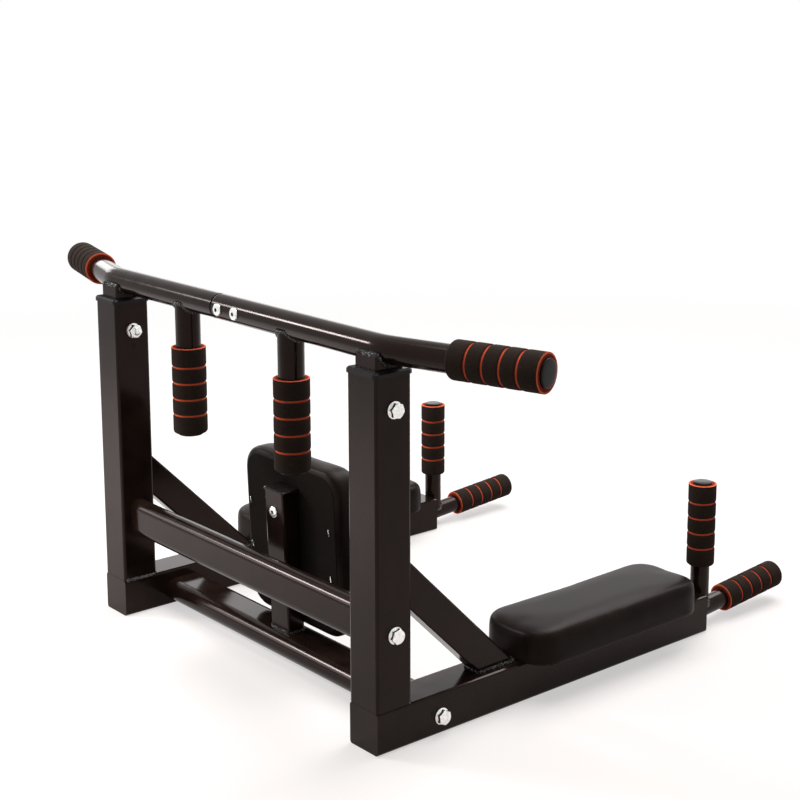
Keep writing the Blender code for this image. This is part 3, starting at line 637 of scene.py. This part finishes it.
def foam_grip(tube_radius):
    """A grip that stands on its orange end, to be copied onto its tubes."""
    radius = tube_radius + foam_wall
    bpy.ops.mesh.primitive_cylinder_add(
        vertices=64, radius=radius, depth=grip_length, location=(0, 0, grip_length / 2)
    )
    grip = just_added()
    for finish in (black_foam, orange_foam, end_face_painted_shade_foam):
        grip.data.materials.append(finish)
    edit(grip)
    pick("FACE", lambda at, normal: abs(normal.z) > 0.9)
    bpy.ops.mesh.inset(thickness=foam_wall - 0.0002)
    bpy.ops.mesh.bridge_edge_loops()
    for middle in grooves:
        for width in (roll_width, groove_width, groove_shade, groove_floor):
            for level in (middle - width / 2, middle + width / 2):
                bpy.ops.mesh.select_all(action="SELECT")
                bpy.ops.mesh.bisect(plane_co=(0, 0, level), plane_no=(0, 0, 1))
        for width, deeper in (
            (groove_width, roll_drop),
            (groove_shade, black_skin - roll_drop),
            (groove_floor, groove_depth - black_skin),
        ):
            pick(
                "EDGE",
                lambda at, along: at.xy.length > radius - foam_wall / 2
                and abs(along.z) < 0.1
                and abs(at.z - middle) < width * 0.52,
            )
            sunk = 1 - deeper / radius
            bpy.ops.transform.resize(value=(sunk, sunk, 1), center_override=(0, 0, middle))
        pick(
            "FACE",
            lambda at, normal: at.xy.length > radius - foam_wall / 2
            and abs(at.z - middle) < groove_shade * 0.48,
        )
        give_slot(grip, 1)
    # The end face: an orange rim round an inner ring of painted shade in dark red
    pick("FACE", lambda at, normal: at.z < tiny and normal.z < -0.9)
    bpy.ops.mesh.inset(thickness=rim_width, use_outset=False)
    pick("FACE", lambda at, normal: at.z < tiny and normal.z < -0.9 and at.xy.length > radius - rim_width)
    give_slot(grip, 1)
    pick("FACE", lambda at, normal: at.z < tiny and normal.z < -0.9 and at.xy.length < radius - rim_width)
    give_slot(grip, 2)
    pick("EDGE", lambda at, along: at.xy.length > radius - 0.0003 and at.z < tiny and abs(along.z) < 0.1)
    bpy.ops.mesh.bevel(offset=orange_edge, segments=2, material=1)
    pick(
        "EDGE",
        lambda at, along: at.xy.length > radius - 0.0003 and at.z > grip_length - tiny and abs(along.z) < 0.1,
    )
    bpy.ops.mesh.bevel(offset=black_edge, segments=6)
    rolls = [groove_width / 2, roll_width / 2]
    pick(
        "EDGE",
        lambda at, along: at.xy.length > radius - 2 * roll_drop
        and abs(along.z) < 0.1
        and any(abs(abs(at.z - middle) - roll) < tiny for middle in grooves for roll in rolls),
    )
    bpy.ops.mesh.bevel(offset=0.0003, segments=2)
    done()
    return grip


def copied(pattern, place, along):
    """A copy with its own mesh, with its foot at a place and its height along a direction."""
    piece = pattern.copy()
    piece.data = pattern.data.copy()
    bpy.context.scene.collection.objects.link(piece)
    return placed(piece, place, along)


bar_grip = foam_grip(bar_radius)
handle_grip = foam_grip(handle_radius)
up = Vector((0, 0, 1))
# Each tube's open end, for its plug: the place, the way it faces and the tube's radius
tips = {}
for side, sign in both_sides:
    outwards = end_direction(sign)
    tip = bar_axis + Vector((sign * bend_corner, 0, 0)) + outwards * bar_end_run
    tips[f"bar_plug_{side}"] = (tip, outwards, bar_radius)
    # Both bar grips were pushed on the same way round, so that the orange end faces right
    orange_end, along = (tip, -outwards) if sign > 0 else (tip - grip_length * outwards, outwards)
    fit(copied(bar_grip, orange_end, along), f"bar_foam_{side}", None, "foam", f"bar_grip_{side}")

    bottom = Vector((sign * hanging_reach, bar_axis.y, hanging_bottom))
    tips[f"hanging_plug_{side}"] = (bottom, -up, bar_radius)
    top = bottom + grip_length * up
    fit(copied(bar_grip, top, -up), f"hanging_foam_{side}", None, "foam", f"hanging_grip_{side}")

    root = handle_root(sign)
    tips[f"forward_plug_{side}"] = (root + ahead * forward_run, ahead, handle_radius)
    orange_end = root + ahead * (forward_run - grip_length)
    fit(copied(handle_grip, orange_end, ahead), f"forward_foam_{side}", None, "foam", f"forward_grip_{side}")

    top = root + Vector((0, handle_radius, upright_rise))
    tips[f"vertical_plug_{side}"] = (top, up, handle_radius)
    fit(copied(handle_grip, top, -up), f"vertical_foam_{side}", None, "foam", f"vertical_grip_{side}")
bpy.data.objects.remove(bar_grip)
bpy.data.objects.remove(handle_grip)

# End plugs
# Polyethylene plugs, tapped into the tubes' open ends inside the foam: a nearly flat face on a 2 mm rim, with
# a spigot inside the tube.

# Glossy black polyethylene: the polished mould leaves a smooth face that carries soft reflections. The flow
# marks are about 6 mm apart.
plug_gloss, shader, place = new_finish(
    "glossy_black_moulded_plug", {"Base Color": linear("#120e0d"), "Specular IOR Level": 0.08, "IOR": 1.51}
)
flow = add_node(plug_gloss, "ShaderNodeTexNoise", {"Vector": place, "Scale": 1 / 0.006, "Detail": 3.0})
haze = add_node(plug_gloss, "ShaderNodeMapRange", {"Value": flow["Fac"], "To Min": 0.08, "To Max": 0.22})
sink = add_node(plug_gloss, "ShaderNodeBump", {"Height": flow["Fac"], "Strength": 0.10, "Distance": 0.0004})
feed(plug_gloss, shader, Roughness=haze["Result"], Normal=sink["Normal"])

plug_rim = 0.0020
plug_gap = 0.0003
spigot = 0.0140
plug_edge = 0.0009


def end_plug(radius):
    """A plug whose rim's underside is just off the tube's end."""
    bpy.ops.mesh.primitive_cylinder_add(
        vertices=56, radius=radius, depth=plug_rim, location=(0, 0, plug_gap + plug_rim / 2)
    )
    plug = just_added()
    edit(plug)
    pick("FACE", lambda at, normal: normal.z > 0.9)
    # Three steps make the low dome of the face
    for share, rise in ((0.10, 0.00025), (0.25, 0.00025), (0.30, 0.00010)):
        bpy.ops.mesh.inset(thickness=radius * share)
        bpy.ops.transform.translate(value=(0, 0, rise))
    pick("FACE", lambda at, normal: normal.z < -0.9)
    bpy.ops.mesh.inset(thickness=bar_wall + 0.0004)
    extrude((0, 0, -spigot))
    bpy.ops.transform.resize(value=(0.94, 0.94, 1))
    pick("EDGE", lambda at, along: at.xy.length > radius * 0.99 and at.z > plug_rim and abs(along.z) < 0.1)
    bpy.ops.mesh.bevel(offset=plug_edge, segments=4)
    done()
    return plug


for radius in (bar_radius, handle_radius):
    pattern = end_plug(radius)
    for name, (tip, along, tube_radius) in tips.items():
        if tube_radius == radius:
            fit(copied(pattern, tip, along), f"{name}_cap", plug_gloss, "plastic", name)
    bpy.data.objects.remove(pattern)

# Bolts, nuts and washers
# Zinc-plated steel of property class 8.8: M10 hexagon bolts with a washer through the uprights and into the
# beams, and M8 button bolts through the bar and the back post.

# Zinc plating, clear passivated: a bright, faintly clouded metal that stays satin on the forged faces. The
# clouds are about 4 mm across. The forged grain is really 0.2 mm, drawn at 0.7 mm so that it shows.
zinc, shader, place = new_finish("bright_zinc_plated_steel", {"Metallic": 1.0})
cloud = add_node(zinc, "ShaderNodeTexNoise", {"Vector": place, "Scale": 1 / 0.004, "Detail": 4.0})
shades = {0.35: "#dfdedb", 0.65: "#f6f5f3"}
tint = add_node(zinc, "ShaderNodeValToRGB", {"Fac": cloud["Fac"]}, shades)
satin = add_node(zinc, "ShaderNodeMapRange", {"Value": cloud["Fac"], "To Min": 0.12, "To Max": 0.30})
grit = add_node(zinc, "ShaderNodeTexNoise", {"Vector": place, "Scale": 1 / 0.0007, "Detail": 2.0})
forged = add_node(zinc, "ShaderNodeBump", {"Height": grit["Fac"], "Strength": 0.15, "Distance": 0.0002})
feed(zinc, shader, Base_Color=tint["Color"], Roughness=satin["Result"], Normal=forged["Normal"])
coat([f"arm_bolt_{side}_{number}" for side, sign in both_sides for number in (1, 2)], zinc)

# Inside a socket the zinc is painted darker, as painted shade in the recess
socket_painted_shade_zinc, shader, place = new_finish("zinc_socket_painted_shade", {"Metallic": 1.0, "Roughness": 0.55})
cloud = add_node(socket_painted_shade_zinc, "ShaderNodeTexNoise", {"Vector": place, "Scale": 1 / 0.002, "Detail": 3.0})
shades = {0.35: "#45423f", 0.65: "#6b6865"}
tint = add_node(socket_painted_shade_zinc, "ShaderNodeValToRGB", {"Fac": cloud["Fac"]}, shades)
feed(socket_painted_shade_zinc, shader, Base_Color=tint["Color"])

m10, m8 = 0.010, 0.008
washer = 0.002
# A bolt's seat stands this far off the steel, for the thickness of the coat
coat_gap = 0.0003
rim_softness = 0.0003


def disc(radius, low, high, softness=rim_softness, corners=48):
    """A turned disc along Z with softened edges."""
    bpy.ops.mesh.primitive_cylinder_add(
        vertices=corners, radius=radius, depth=high - low, location=(0, 0, (low + high) / 2)
    )
    made = just_added()
    modify(made, "BEVEL", width=softness, segments=2, limit_method="ANGLE", angle_limit=radians(50))
    return made


def hexagon(across_flats, low, high, both_faces):
    """A hexagon along Z, turned down at its corners by 30 degrees on its top, or on both faces."""
    corner = across_flats / 2 / cos(pi / 6)
    bpy.ops.mesh.primitive_cylinder_add(
        vertices=6, radius=corner, depth=high - low, location=(0, 0, (low + high) / 2)
    )
    made = just_added()
    # The part of the hexagon inside a cone with a long foot stays
    reach = corner + 0.004
    top = across_flats / 2 * 0.97
    drop = (reach - top) * tan(radians(30))
    ends = [(high, 1), (low, -1)] if both_faces else [(high, 1)]
    for face, flip in ends:
        bpy.ops.mesh.primitive_cone_add(vertices=64, radius1=reach, radius2=top, depth=drop)
        cone = bpy.context.object
        edit(cone)
        pick("FACE", lambda at, normal: normal.z < -0.9)
        extrude((0, 0, -0.03))
        done()
        cone.matrix_world = Matrix.Translation((0, 0, face - flip * drop / 2)) @ Matrix.Rotation(
            0 if flip > 0 else pi, 4, "X"
        )
        alone(cone)
        bpy.ops.object.transform_apply(location=True, rotation=True)
        modify(made, "BOOLEAN", operation="INTERSECT", solver="EXACT", object=cone)
        bpy.data.objects.remove(cone)
    modify(made, "BEVEL", width=rim_softness, segments=2, limit_method="ANGLE", angle_limit=radians(25))
    return made


def thread_end(radius, low, high):
    """The bolt's threaded end, with a point turned on it. Its rings have the pitch of M10, also on M8."""
    pitch = 0.0015
    thread_root = 0.90
    made = disc(radius, low, high, radius * 0.16, 40)
    edit(made)
    turns = int((high - low) / pitch)
    for number in range(1, turns):
        for offset in (-0.3, 0.0, 0.3):
            bpy.ops.mesh.select_all(action="SELECT")
            bpy.ops.mesh.bisect(plane_co=(0, 0, low + (number + offset) * pitch), plane_no=(0, 0, 1))
    done()
    for vertex in made.data.vertices:
        count = (vertex.co.z - low) / pitch
        if abs(count - round(count)) < 0.05 and 0 < round(count) < turns:
            vertex.co.x *= thread_root
            vertex.co.y *= thread_root
    return made


def hexagon_head(size):
    """A hexagon head on its washer, from the seat at Z = 0 outwards to +Z."""
    head = hexagon(1.6 * size, washer, washer + 0.65 * size, both_faces=False)
    return joined([head, disc(size, 0.0, washer)])


def shank(size, low, high, softness=rim_softness):
    """A bolt's plain shank."""
    return disc(size / 2 - 0.0001, low, high, softness, 32)


def nut_side(size, grip, thread_start, length, seat, along, turn=0.0):
    """What a bolt through a tube has beyond its head: threaded end, washer, nut and shank."""
    nut = hexagon(1.6 * size, grip + washer, grip + washer + 0.8 * size, both_faces=True)
    return [
        placed(thread_end(size / 2, thread_start, length), seat, along),
        placed(disc(size, grip, grip + washer), seat, along),
        placed(nut, seat, along, turn),
        placed(shank(size, 0.0, grip), seat, along),
    ]


# The heads stand as the wrench left them
for side, sign in both_sides:
    outer = sign * (half_span + half_tube + coat_gap)
    seats = {
        "top_bolt": Vector((outer, bar_axis.y, 0.398)),
        "mid_bolt": Vector((outer, bar_axis.y, 0.1388)),
        "low_bolt": Vector((outer, post_y, 0.022)),
    }
    for number, (name, seat) in enumerate(seats.items()):
        turn = radians(11 + 23 * number + 7 * sign)
        parts = [placed(hexagon_head(m10), seat, (sign, 0, 0), turn)]
        low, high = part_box(f"{name}_{side}")
        length = abs((low.x if sign > 0 else high.x) - outer)
        if name == "top_bolt":
            grip = 2 * (half_tube + coat_gap)
            parts += nut_side(m10, grip, grip - 0.002, length, seat, (-sign, 0, 0), radians(17))
        else:
            parts.append(placed(shank(m10, -length, 0.001, 0.0006), seat, (sign, 0, 0)))
        fit(joined(parts), f"{name}_{side}_zinc", zinc, "zinc", f"{name}_{side}")


def button_head(size):
    """A domed head with a hexagon socket, from the seat at Z = 0."""
    radius, height = 0.95 * size, 0.34 * size
    bpy.ops.mesh.primitive_cylinder_add(vertices=48, radius=radius, depth=height, location=(0, 0, height / 2))
    head = just_added()
    edit(head)
    pick("EDGE", lambda at, along: at.z > height * 0.9)
    bpy.ops.mesh.bevel(offset=height * 0.80, segments=7, profile=0.5)
    done()
    bpy.ops.mesh.primitive_cylinder_add(
        vertices=6, radius=0.34 * size, depth=height * 1.4, location=(0, 0, height * 1.05)
    )
    socket = just_added()
    modify(head, "BOOLEAN", operation="DIFFERENCE", solver="EXACT", object=socket)
    bpy.data.objects.remove(socket)
    head.data.materials.append(zinc)
    head.data.materials.append(socket_painted_shade_zinc)
    edit(head)
    # The socket's inner faces take the darker zinc, painted shade in the hole
    pick("FACE", lambda at, normal: at.xy.length < 0.335 * size and height * 0.3 < at.z < height * 0.99)
    give_slot(head, 1)
    done()
    return head


bar_bolt_reach = 0.018
for side, sign in both_sides:
    name = f"bar_bolt_{side}"
    seat = bar_axis + Vector((sign * bar_bolt_reach, -bar_radius - coat_gap, 0))
    grip = 2 * (bar_radius + coat_gap)
    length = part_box(name)[1].y - seat.y
    parts = [placed(button_head(m8), seat, (0, -1, 0), radians(20))]
    parts += nut_side(m8, grip, grip - 0.001, length, seat, (0, 1, 0))
    fit(joined(parts), f"{name}_zinc", zinc, "zinc", name)

# The back post leans, and its two bolts with it
post_lean = radians(2.3)
post_ahead = Vector((0, cos(post_lean), sin(post_lean)))
post_up = Vector((0, -sin(post_lean), cos(post_lean)))
post_root = Vector((0, post_y, 0.0373))
post_face = post_half_depth + coat_gap
post_bolt_run = 0.0336
for number, rise in ((1, 0.160), (2, 0.060)):
    seat = post_root + post_up * rise - post_ahead * post_face
    parts = [
        placed(button_head(m8), seat, -post_ahead, radians(9 * number)),
        placed(shank(m8, 0.0, post_bolt_run, 0.0004), seat, post_ahead),
    ]
    fit(joined(parts), f"back_bolt_{number}_zinc", zinc, "zinc", f"back_bolt_{number}")

# Arm pads
# Each is a 12 mm plywood board under 32 mm of foam, covered in black vinyl that is pulled round the edge and
# stapled beneath, and bolted to the arm from below. The cover swells between its corners where it was pulled.

# Black upholstery vinyl (soft PVC on a knit): a fine pressed leather grain under a satin skin, so that the
# top is a soft grey-brown where it mirrors the sky and the sides fall off to black.
vinyl, shader, place = new_finish(
    "satin_black_upholstery_vinyl", {"Specular IOR Level": 0.055, "Specular Tint": linear("#ffeae6")}
)
# Real grain cells are 0.8 mm, drawn at 1.3 mm so that they show
pebble = add_node(vinyl, "ShaderNodeTexVoronoi", {"Vector": place, "Scale": 1 / 0.0013}, feature="SMOOTH_F1")
hand = add_node(vinyl, "ShaderNodeTexNoise", {"Vector": place, "Scale": 1 / 0.035, "Detail": 4.0})
shades = {0.35: "#140f0d", 0.65: "#1e1815"}
tint = add_node(vinyl, "ShaderNodeValToRGB", {"Fac": hand["Fac"]}, shades)
satin = add_node(vinyl, "ShaderNodeMapRange", {"Value": hand["Fac"], "To Min": 0.30, "To Max": 0.42})
grain = {"Height": pebble["Distance"], "Strength": 0.22, "Distance": 0.0003}
pressed = add_node(vinyl, "ShaderNodeBump", grain)
feed(vinyl, shader, Base_Color=tint["Color"], Roughness=satin["Result"], Normal=pressed["Normal"])

pad_corner = 0.034
# The foam starts this much smaller all round, and its top falls this much towards its edges
cover_room = 0.0012
pad_crown = 0.0012
# Of what the simulated cover swells, this share is kept, and this much at most
cover_give = 0.30
most_swell = 0.0020


def pad_blank(width, length, thickness, edge, back_edge):
    """The foam's block before it is covered, a little under size, with its board side at Z = 0."""
    under_size = (width - 2 * cover_room, length - 2 * cover_room, thickness - cover_room)
    bpy.ops.mesh.primitive_cube_add(size=1, location=(0, 0, (thickness - cover_room) / 2), scale=under_size)
    blank = just_added()
    edit(blank)
    pick("EDGE", lambda at, along: abs(along.z) > 0.9)
    bpy.ops.mesh.bevel(offset=pad_corner - cover_room, segments=10)
    pick("EDGE", lambda at, along: at.z > thickness - cover_room - 0.0005)
    bpy.ops.mesh.bevel(offset=edge, segments=6)
    pick("EDGE", lambda at, along: at.z < 0.0005)
    bpy.ops.mesh.bevel(offset=back_edge, segments=4)
    done()
    return blank


def covered(blank, board_depth):
    """Pulls a vinyl cover over the block: it is inflated as cloth with its board side held, then smoothed."""
    last_step = 20
    modify(blank, "REMESH", mode="VOXEL", voxel_size=0.0040, use_smooth_shade=True)
    thick = max(vertex.co.z for vertex in blank.data.vertices)
    half_width = max(vertex.co.x for vertex in blank.data.vertices)
    half_length = max(vertex.co.y for vertex in blank.data.vertices)
    for vertex in blank.data.vertices:
        flat = max(0, 1 - (vertex.co.x / half_width) ** 4) * max(0, 1 - (vertex.co.y / half_length) ** 8)
        vertex.co.z -= pad_crown * (1 - flat) * max(0, vertex.co.z / thick) ** 2
    before = [vertex.co.copy() for vertex in blank.data.vertices]
    held = blank.vertex_groups.new(name="board side")
    held.add([v.index for v in blank.data.vertices if v.co.z < board_depth], 1.0, "REPLACE")
    alone(blank)
    cloth = blank.modifiers.new("cover", "CLOTH")
    cloth.settings.quality = 6
    cloth.settings.mass = 0.3
    cloth.settings.use_pressure = True
    cloth.settings.uniform_pressure_force = 4.0
    cloth.settings.tension_stiffness = 15
    cloth.settings.compression_stiffness = 15
    cloth.settings.bending_stiffness = 2.0
    cloth.settings.vertex_group_mass = "board side"
    cloth.settings.effector_weights.gravity = 0
    cloth.collision_settings.use_collision = False
    cloth.point_cache.frame_start, cloth.point_cache.frame_end = 1, last_step
    for step in range(1, last_step + 1):
        bpy.context.scene.frame_set(step)
    bpy.ops.object.modifier_apply(modifier=cloth.name)
    bpy.context.scene.frame_set(1)
    blank.vertex_groups.clear()
    for vertex, start in zip(blank.data.vertices, before):
        moved = (vertex.co - start) * cover_give
        if moved.length > most_swell:
            moved = moved.normalized() * most_swell
        vertex.co = start + moved
    foam = blank.vertex_groups.new(name="foam")
    foam.add([v.index for v in blank.data.vertices if v.co.z > board_depth], 1.0, "REPLACE")
    modify(blank, "SMOOTH", factor=0.5, iterations=10, vertex_group=foam.name)
    modify(blank, "SMOOTH", factor=0.5, iterations=2)
    modify(blank, "SUBSURF", levels=1, render_levels=1)
    return blank


low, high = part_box("arm_right_pad")
arm_pad_size = high - low
# The blank is this much too deep, and is cut off flat where the cover is pulled sharp over the board's edge
spare = 0.004
for side, sign in both_sides:
    low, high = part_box(f"arm_{side}_pad")
    blank = pad_blank(arm_pad_size.x, arm_pad_size.y, arm_pad_size.z + spare, edge=0.011, back_edge=0.002)
    pad = covered(blank, board_depth=0.006 + spare)
    edit(pad)
    bpy.ops.mesh.bisect(plane_co=(0, 0, spare), plane_no=(0, 0, 1), clear_inner=True, use_fill=True)
    done()
    bottom = min(vertex.co.z for vertex in pad.data.vertices)
    pad.location = ((low.x + high.x) / 2, (low.y + high.y) / 2, low.z - bottom)
    fit(pad, f"arm_pad_{side}_cover", vinyl, "vinyl", f"arm_{side}_pad", f"arm_{side}_board", smooth=80)

# Back pad
# Built as the arm pads are, 206 by 224 mm, and bolted to the leaning post. Its cover is turned in over the
# board's edge, a black backing cloth closes the back, and staples hold both.
back_size = Vector((0.206, 0.2235, 0.042))
back_place = post_root + post_ahead * post_face + post_up * (0.002 + back_size.y / 2)
back_turn = Matrix((Vector((1, 0, 0)), -post_up, post_ahead)).transposed().to_4x4()
pad = covered(pad_blank(*back_size, edge=0.012, back_edge=0.009), board_depth=0.012)
bottom = min(vertex.co.z for vertex in pad.data.vertices)
pad.matrix_world = Matrix.Translation(back_place - post_ahead * bottom) @ back_turn
fit(pad, "back_pad_cover", vinyl, "vinyl", "back_pad", "back_board", smooth=80)

# Black backing cloth: a thin non-woven felt, matt and a little fuzzy, so that it stays the darkest thing here
backing, shader, place = new_finish("black_backing_cloth", {"Roughness": 0.85, "Specular IOR Level": 0.06})
# Real fibres are 0.02 mm, drawn at 0.9 mm so that they show
fibre = add_node(backing, "ShaderNodeTexNoise", {"Vector": place, "Scale": 1 / 0.0009, "Detail": 3.0})
shades = {0.30: "#0f0c0a", 0.70: "#1b1613"}
tint = add_node(backing, "ShaderNodeValToRGB", {"Fac": fibre["Fac"]}, shades)
fuzz = add_node(backing, "ShaderNodeBump", {"Height": fibre["Fac"], "Strength": 0.35, "Distance": 0.0003})
feed(backing, shader, Base_Color=tint["Color"], Normal=fuzz["Normal"])


def rounded_sheet(width, length, corner):
    """A flat sheet with rounded corners, left open for editing with all of it selected."""
    bpy.ops.mesh.primitive_plane_add(size=1, location=(0, 0, 0))
    sheet = bpy.context.object
    sheet.scale = (width, length, 1)
    just_added()
    edit(sheet)
    bpy.ops.mesh.bevel(offset=corner, segments=8, affect="VERTICES")
    bpy.ops.mesh.select_all(action="SELECT")
    return sheet


# The cloth lies over the cover's turned-in edge, from 10 mm inside the pad's outline. Rows of faces round
# its edge let it lie in low waves, and behind the post it is pressed flat.
cloth_margin = 0.010
cloth_thickness = 0.0006
cloth_wave = 0.0003
cloth_corner = 0.026
cloth_rows = (0.004, 0.006, 0.008)
backing_sheet = rounded_sheet(back_size.x - 2 * cloth_margin, back_size.y - 2 * cloth_margin, cloth_corner)
for step_in in cloth_rows:
    bpy.ops.mesh.inset(thickness=step_in)
done()
modify(backing_sheet, "SOLIDIFY", thickness=cloth_thickness, offset=0)
modify(backing_sheet, "BEVEL", width=0.0002, segments=2, limit_method="ANGLE", angle_limit=radians(40))
for vertex in backing_sheet.data.vertices:
    if abs(vertex.co.x) > post_half_width + 0.006:
        vertex.co.z += cloth_wave * noise.noise(vertex.co / 0.018)
backing_sheet.matrix_world = Matrix.Translation(back_place) @ back_turn
fit(backing_sheet, "back_pad_cloth", backing, "vinyl", smooth=60)

# Staples: galvanised wire, 7.6 mm across outside its bends, with both legs driven into the board
wire = 0.0006
staple_back = 0.0060
staple_bend = 0.0008
leg = 0.0030
half_back = staple_back / 2
bpy.ops.mesh.primitive_circle_add(vertices=8, radius=wire, location=(-half_back - staple_bend, 0, -leg))
staple = just_added()
edit(staple)
extrude((0, 0, leg))
bpy.ops.mesh.spin(steps=4, angle=-pi / 2, center=(-half_back, 0, 0), axis=(0, 1, 0))
extrude((staple_back, 0, 0))
bpy.ops.mesh.spin(steps=4, angle=-pi / 2, center=(half_back, 0, 0), axis=(0, 1, 0))
extrude((0, 0, -leg))
bpy.ops.mesh.select_all(action="SELECT")
bpy.ops.mesh.remove_doubles(threshold=0.00001)
bpy.ops.mesh.select_all(action="DESELECT")
bpy.ops.mesh.select_non_manifold()
bpy.ops.mesh.fill()
bpy.ops.mesh.select_all(action="SELECT")
bpy.ops.mesh.normals_make_consistent(inside=False)
done()
# Two columns of three, none quite in line, as a hand stapler leaves them
spots = [(x, rise + shift) for x, shift in ((0.081, 0), (-0.087, 0.003)) for rise in (0.026, 0.085, 0.146)]
staples = []
for number, (x, rise) in enumerate(spots):
    lie = radians(104 + 24 * noise.noise(Vector((number * 1.7, 0.5, 0.0))))
    spot = post_root + post_ahead * post_face + Vector((x, 0, 0)) + post_up * rise
    one = copied(staple, (0, 0, 0), up)
    one.matrix_world = (
        Matrix.Translation(spot - post_ahead * wire)
        @ back_turn
        @ Matrix.Rotation(pi, 4, "X")
        @ Matrix.Rotation(lie, 4, "Z")
    )
    staples.append(one)
bpy.data.objects.remove(staple)
fit(joined(staples), "back_pad_staples", zinc, "zinc")

# Floor and studio
# A seamless pale floor that runs out into the white of the studio. It keeps the frame's soft shadow.
floor_radius = 2.4
floor_glow = 0.53
studio_light = 0.22


def seen_directly(finish):
    """1 where the camera, a reflection or glass looks at it, and 0 where it only lights the frame."""
    rays = add_node(finish, "ShaderNodeLightPath", {})
    seen = rays["Is Camera Ray"]
    for other in ("Is Glossy Ray", "Is Transmission Ray"):
        seen = add_node(finish, "ShaderNodeMath", {0: seen, 1: rays[other]}, operation="MAXIMUM")[0]
    return seen


# Matt pale floor, a little lifted where it is seen, which fades out into the studio's white towards its edge
floor_finish = bpy.data.materials.new("pale_studio_floor")
floor_finish.use_nodes = True
floor_finish.node_tree.nodes.clear()
place = add_node(floor_finish, "ShaderNodeTexCoord", {})["Object"]
shrink = (1 / floor_radius, 1 / floor_radius, 1)
spread = add_node(floor_finish, "ShaderNodeMapping", {"Vector": place, "Scale": shrink})["Vector"]
fade = add_node(floor_finish, "ShaderNodeTexGradient", {"Vector": spread}, gradient_type="SPHERICAL")["Fac"]
inwards = {"Value": fade, "From Min": 0.0, "From Max": 0.6}
edge = add_node(floor_finish, "ShaderNodeMapRange", inwards)["Result"]
lifted = add_node(
    floor_finish, "ShaderNodeMath", {0: seen_directly(floor_finish), 1: floor_glow}, operation="MULTIPLY"
)[0]
matt = add_node(floor_finish, "ShaderNodeBsdfDiffuse", {"Color": linear("#a6a19f")})[0]
glow = add_node(floor_finish, "ShaderNodeEmission", {"Color": linear("#fffdfc"), "Strength": lifted})[0]
lit = add_node(floor_finish, "ShaderNodeAddShader", {0: matt, 1: glow})[0]
clear = add_node(floor_finish, "ShaderNodeBsdfTransparent", {})[0]
shown = add_node(floor_finish, "ShaderNodeMixShader", {0: edge, 1: clear, 2: lit})[0]
add_node(floor_finish, "ShaderNodeOutputMaterial", {"Surface": shown})
bpy.ops.mesh.primitive_circle_add(
    vertices=64, radius=floor_radius, fill_type="NGON", location=(0, 0, -0.0005)
)
floor = bpy.context.object
floor.name = "floor"
floor.data.materials.append(floor_finish)

# The white of the studio is what the camera and the gloss see. Its light on the frame is softer
studio = bpy.data.worlds.new("white_studio")
bpy.context.scene.world = studio
studio.use_nodes = True
sky = studio.node_tree.nodes["Background"]
level = add_node(
    studio, "ShaderNodeMapRange", {"Value": seen_directly(studio), "To Min": studio_light, "To Max": 1.0}
)["Result"]
studio.node_tree.links.new(level, sky.inputs["Strength"])
sky.inputs["Color"].default_value = (1, 1, 1, 1)


def softbox(name, place, aim, width, height, watts):
    """A soft lamp at a place, turned to what it lights."""
    lamp = bpy.data.lights.new(name, "AREA")
    lamp.shape, lamp.size, lamp.size_y, lamp.energy = "RECTANGLE", width, height, watts
    made = bpy.data.objects.new(name, lamp)
    bpy.context.scene.collection.objects.link(made)
    turned = (Vector(aim) - Vector(place)).to_track_quat("-Z", "Y").to_matrix().to_4x4()
    made.matrix_world = Matrix.Translation(place) @ turned
    made.visible_camera = False


# Long narrow boxes draw the highlights along the bar and its left end. Wide ones light the pads and the floor
softbox("softbox_left_end", (-1.95, -0.10, 1.00), (-0.2, -0.3, 0.4), 0.8, 0.35, 5)
softbox("softbox_strip", (-1.70, -1.60, 1.31), (-1.70, -0.35, 0.463), 0.70, 0.31, 34)
softbox("softbox_strip_end", (-2.25, -1.60, 1.32), (-2.25, -0.35, 0.463), 0.36, 0.27, 3)
softbox("softbox_back", (-0.2, 1.3, 2.0), (0, 0, 0.22), 1.4, 1.4, 45)
softbox("softbox_above", (0.1, -0.1, 2.4), (0.1, -0.1, 0.0), 1.8, 1.8, 40)
softbox("softbox_low_behind", (-1.95, 1.55, 0.90), (0.0, 0.0, 0.2), 2.4, 0.6, 6)
softbox("softbox_floor_pool", (-0.75, -0.98, 0.40), (-0.75, -0.98, 0.0), 1.3, 0.7, 12)
bpy.context.scene.view_settings.view_transform = "Standard"

# Camera
# It stands where the photograph was taken from, to the right of the wall side and a little above. Its place,
# turn and lens were solved from the frame's straight edges, for a picture 800 pixels wide.
camera_place = Vector((1.6304, -1.4441, 0.8514))
heading, dip, roll = radians(50.23), radians(10.89), radians(-0.16)
image_pixels = 800
focal_pixels = 1641
raised_pixels = 100
sensor = 36
forward = Vector((-sin(heading) * cos(dip), cos(heading) * cos(dip), -sin(dip)))
rightward = forward.cross(up).normalized()
upward = rightward.cross(forward)
rightward, upward = rightward * cos(roll) + upward * sin(roll), upward * cos(roll) - rightward * sin(roll)
turned = Matrix((rightward, upward, -forward)).transposed().to_4x4()
camera = bpy.data.objects.new("camera", bpy.data.cameras.new("camera"))
bpy.context.scene.collection.objects.link(camera)
camera.matrix_world = Matrix.Translation(camera_place) @ turned
camera.data.sensor_width = sensor
camera.data.lens = sensor * focal_pixels / image_pixels
camera.data.shift_y = -raised_pixels / image_pixels
bpy.context.scene.camera = camera
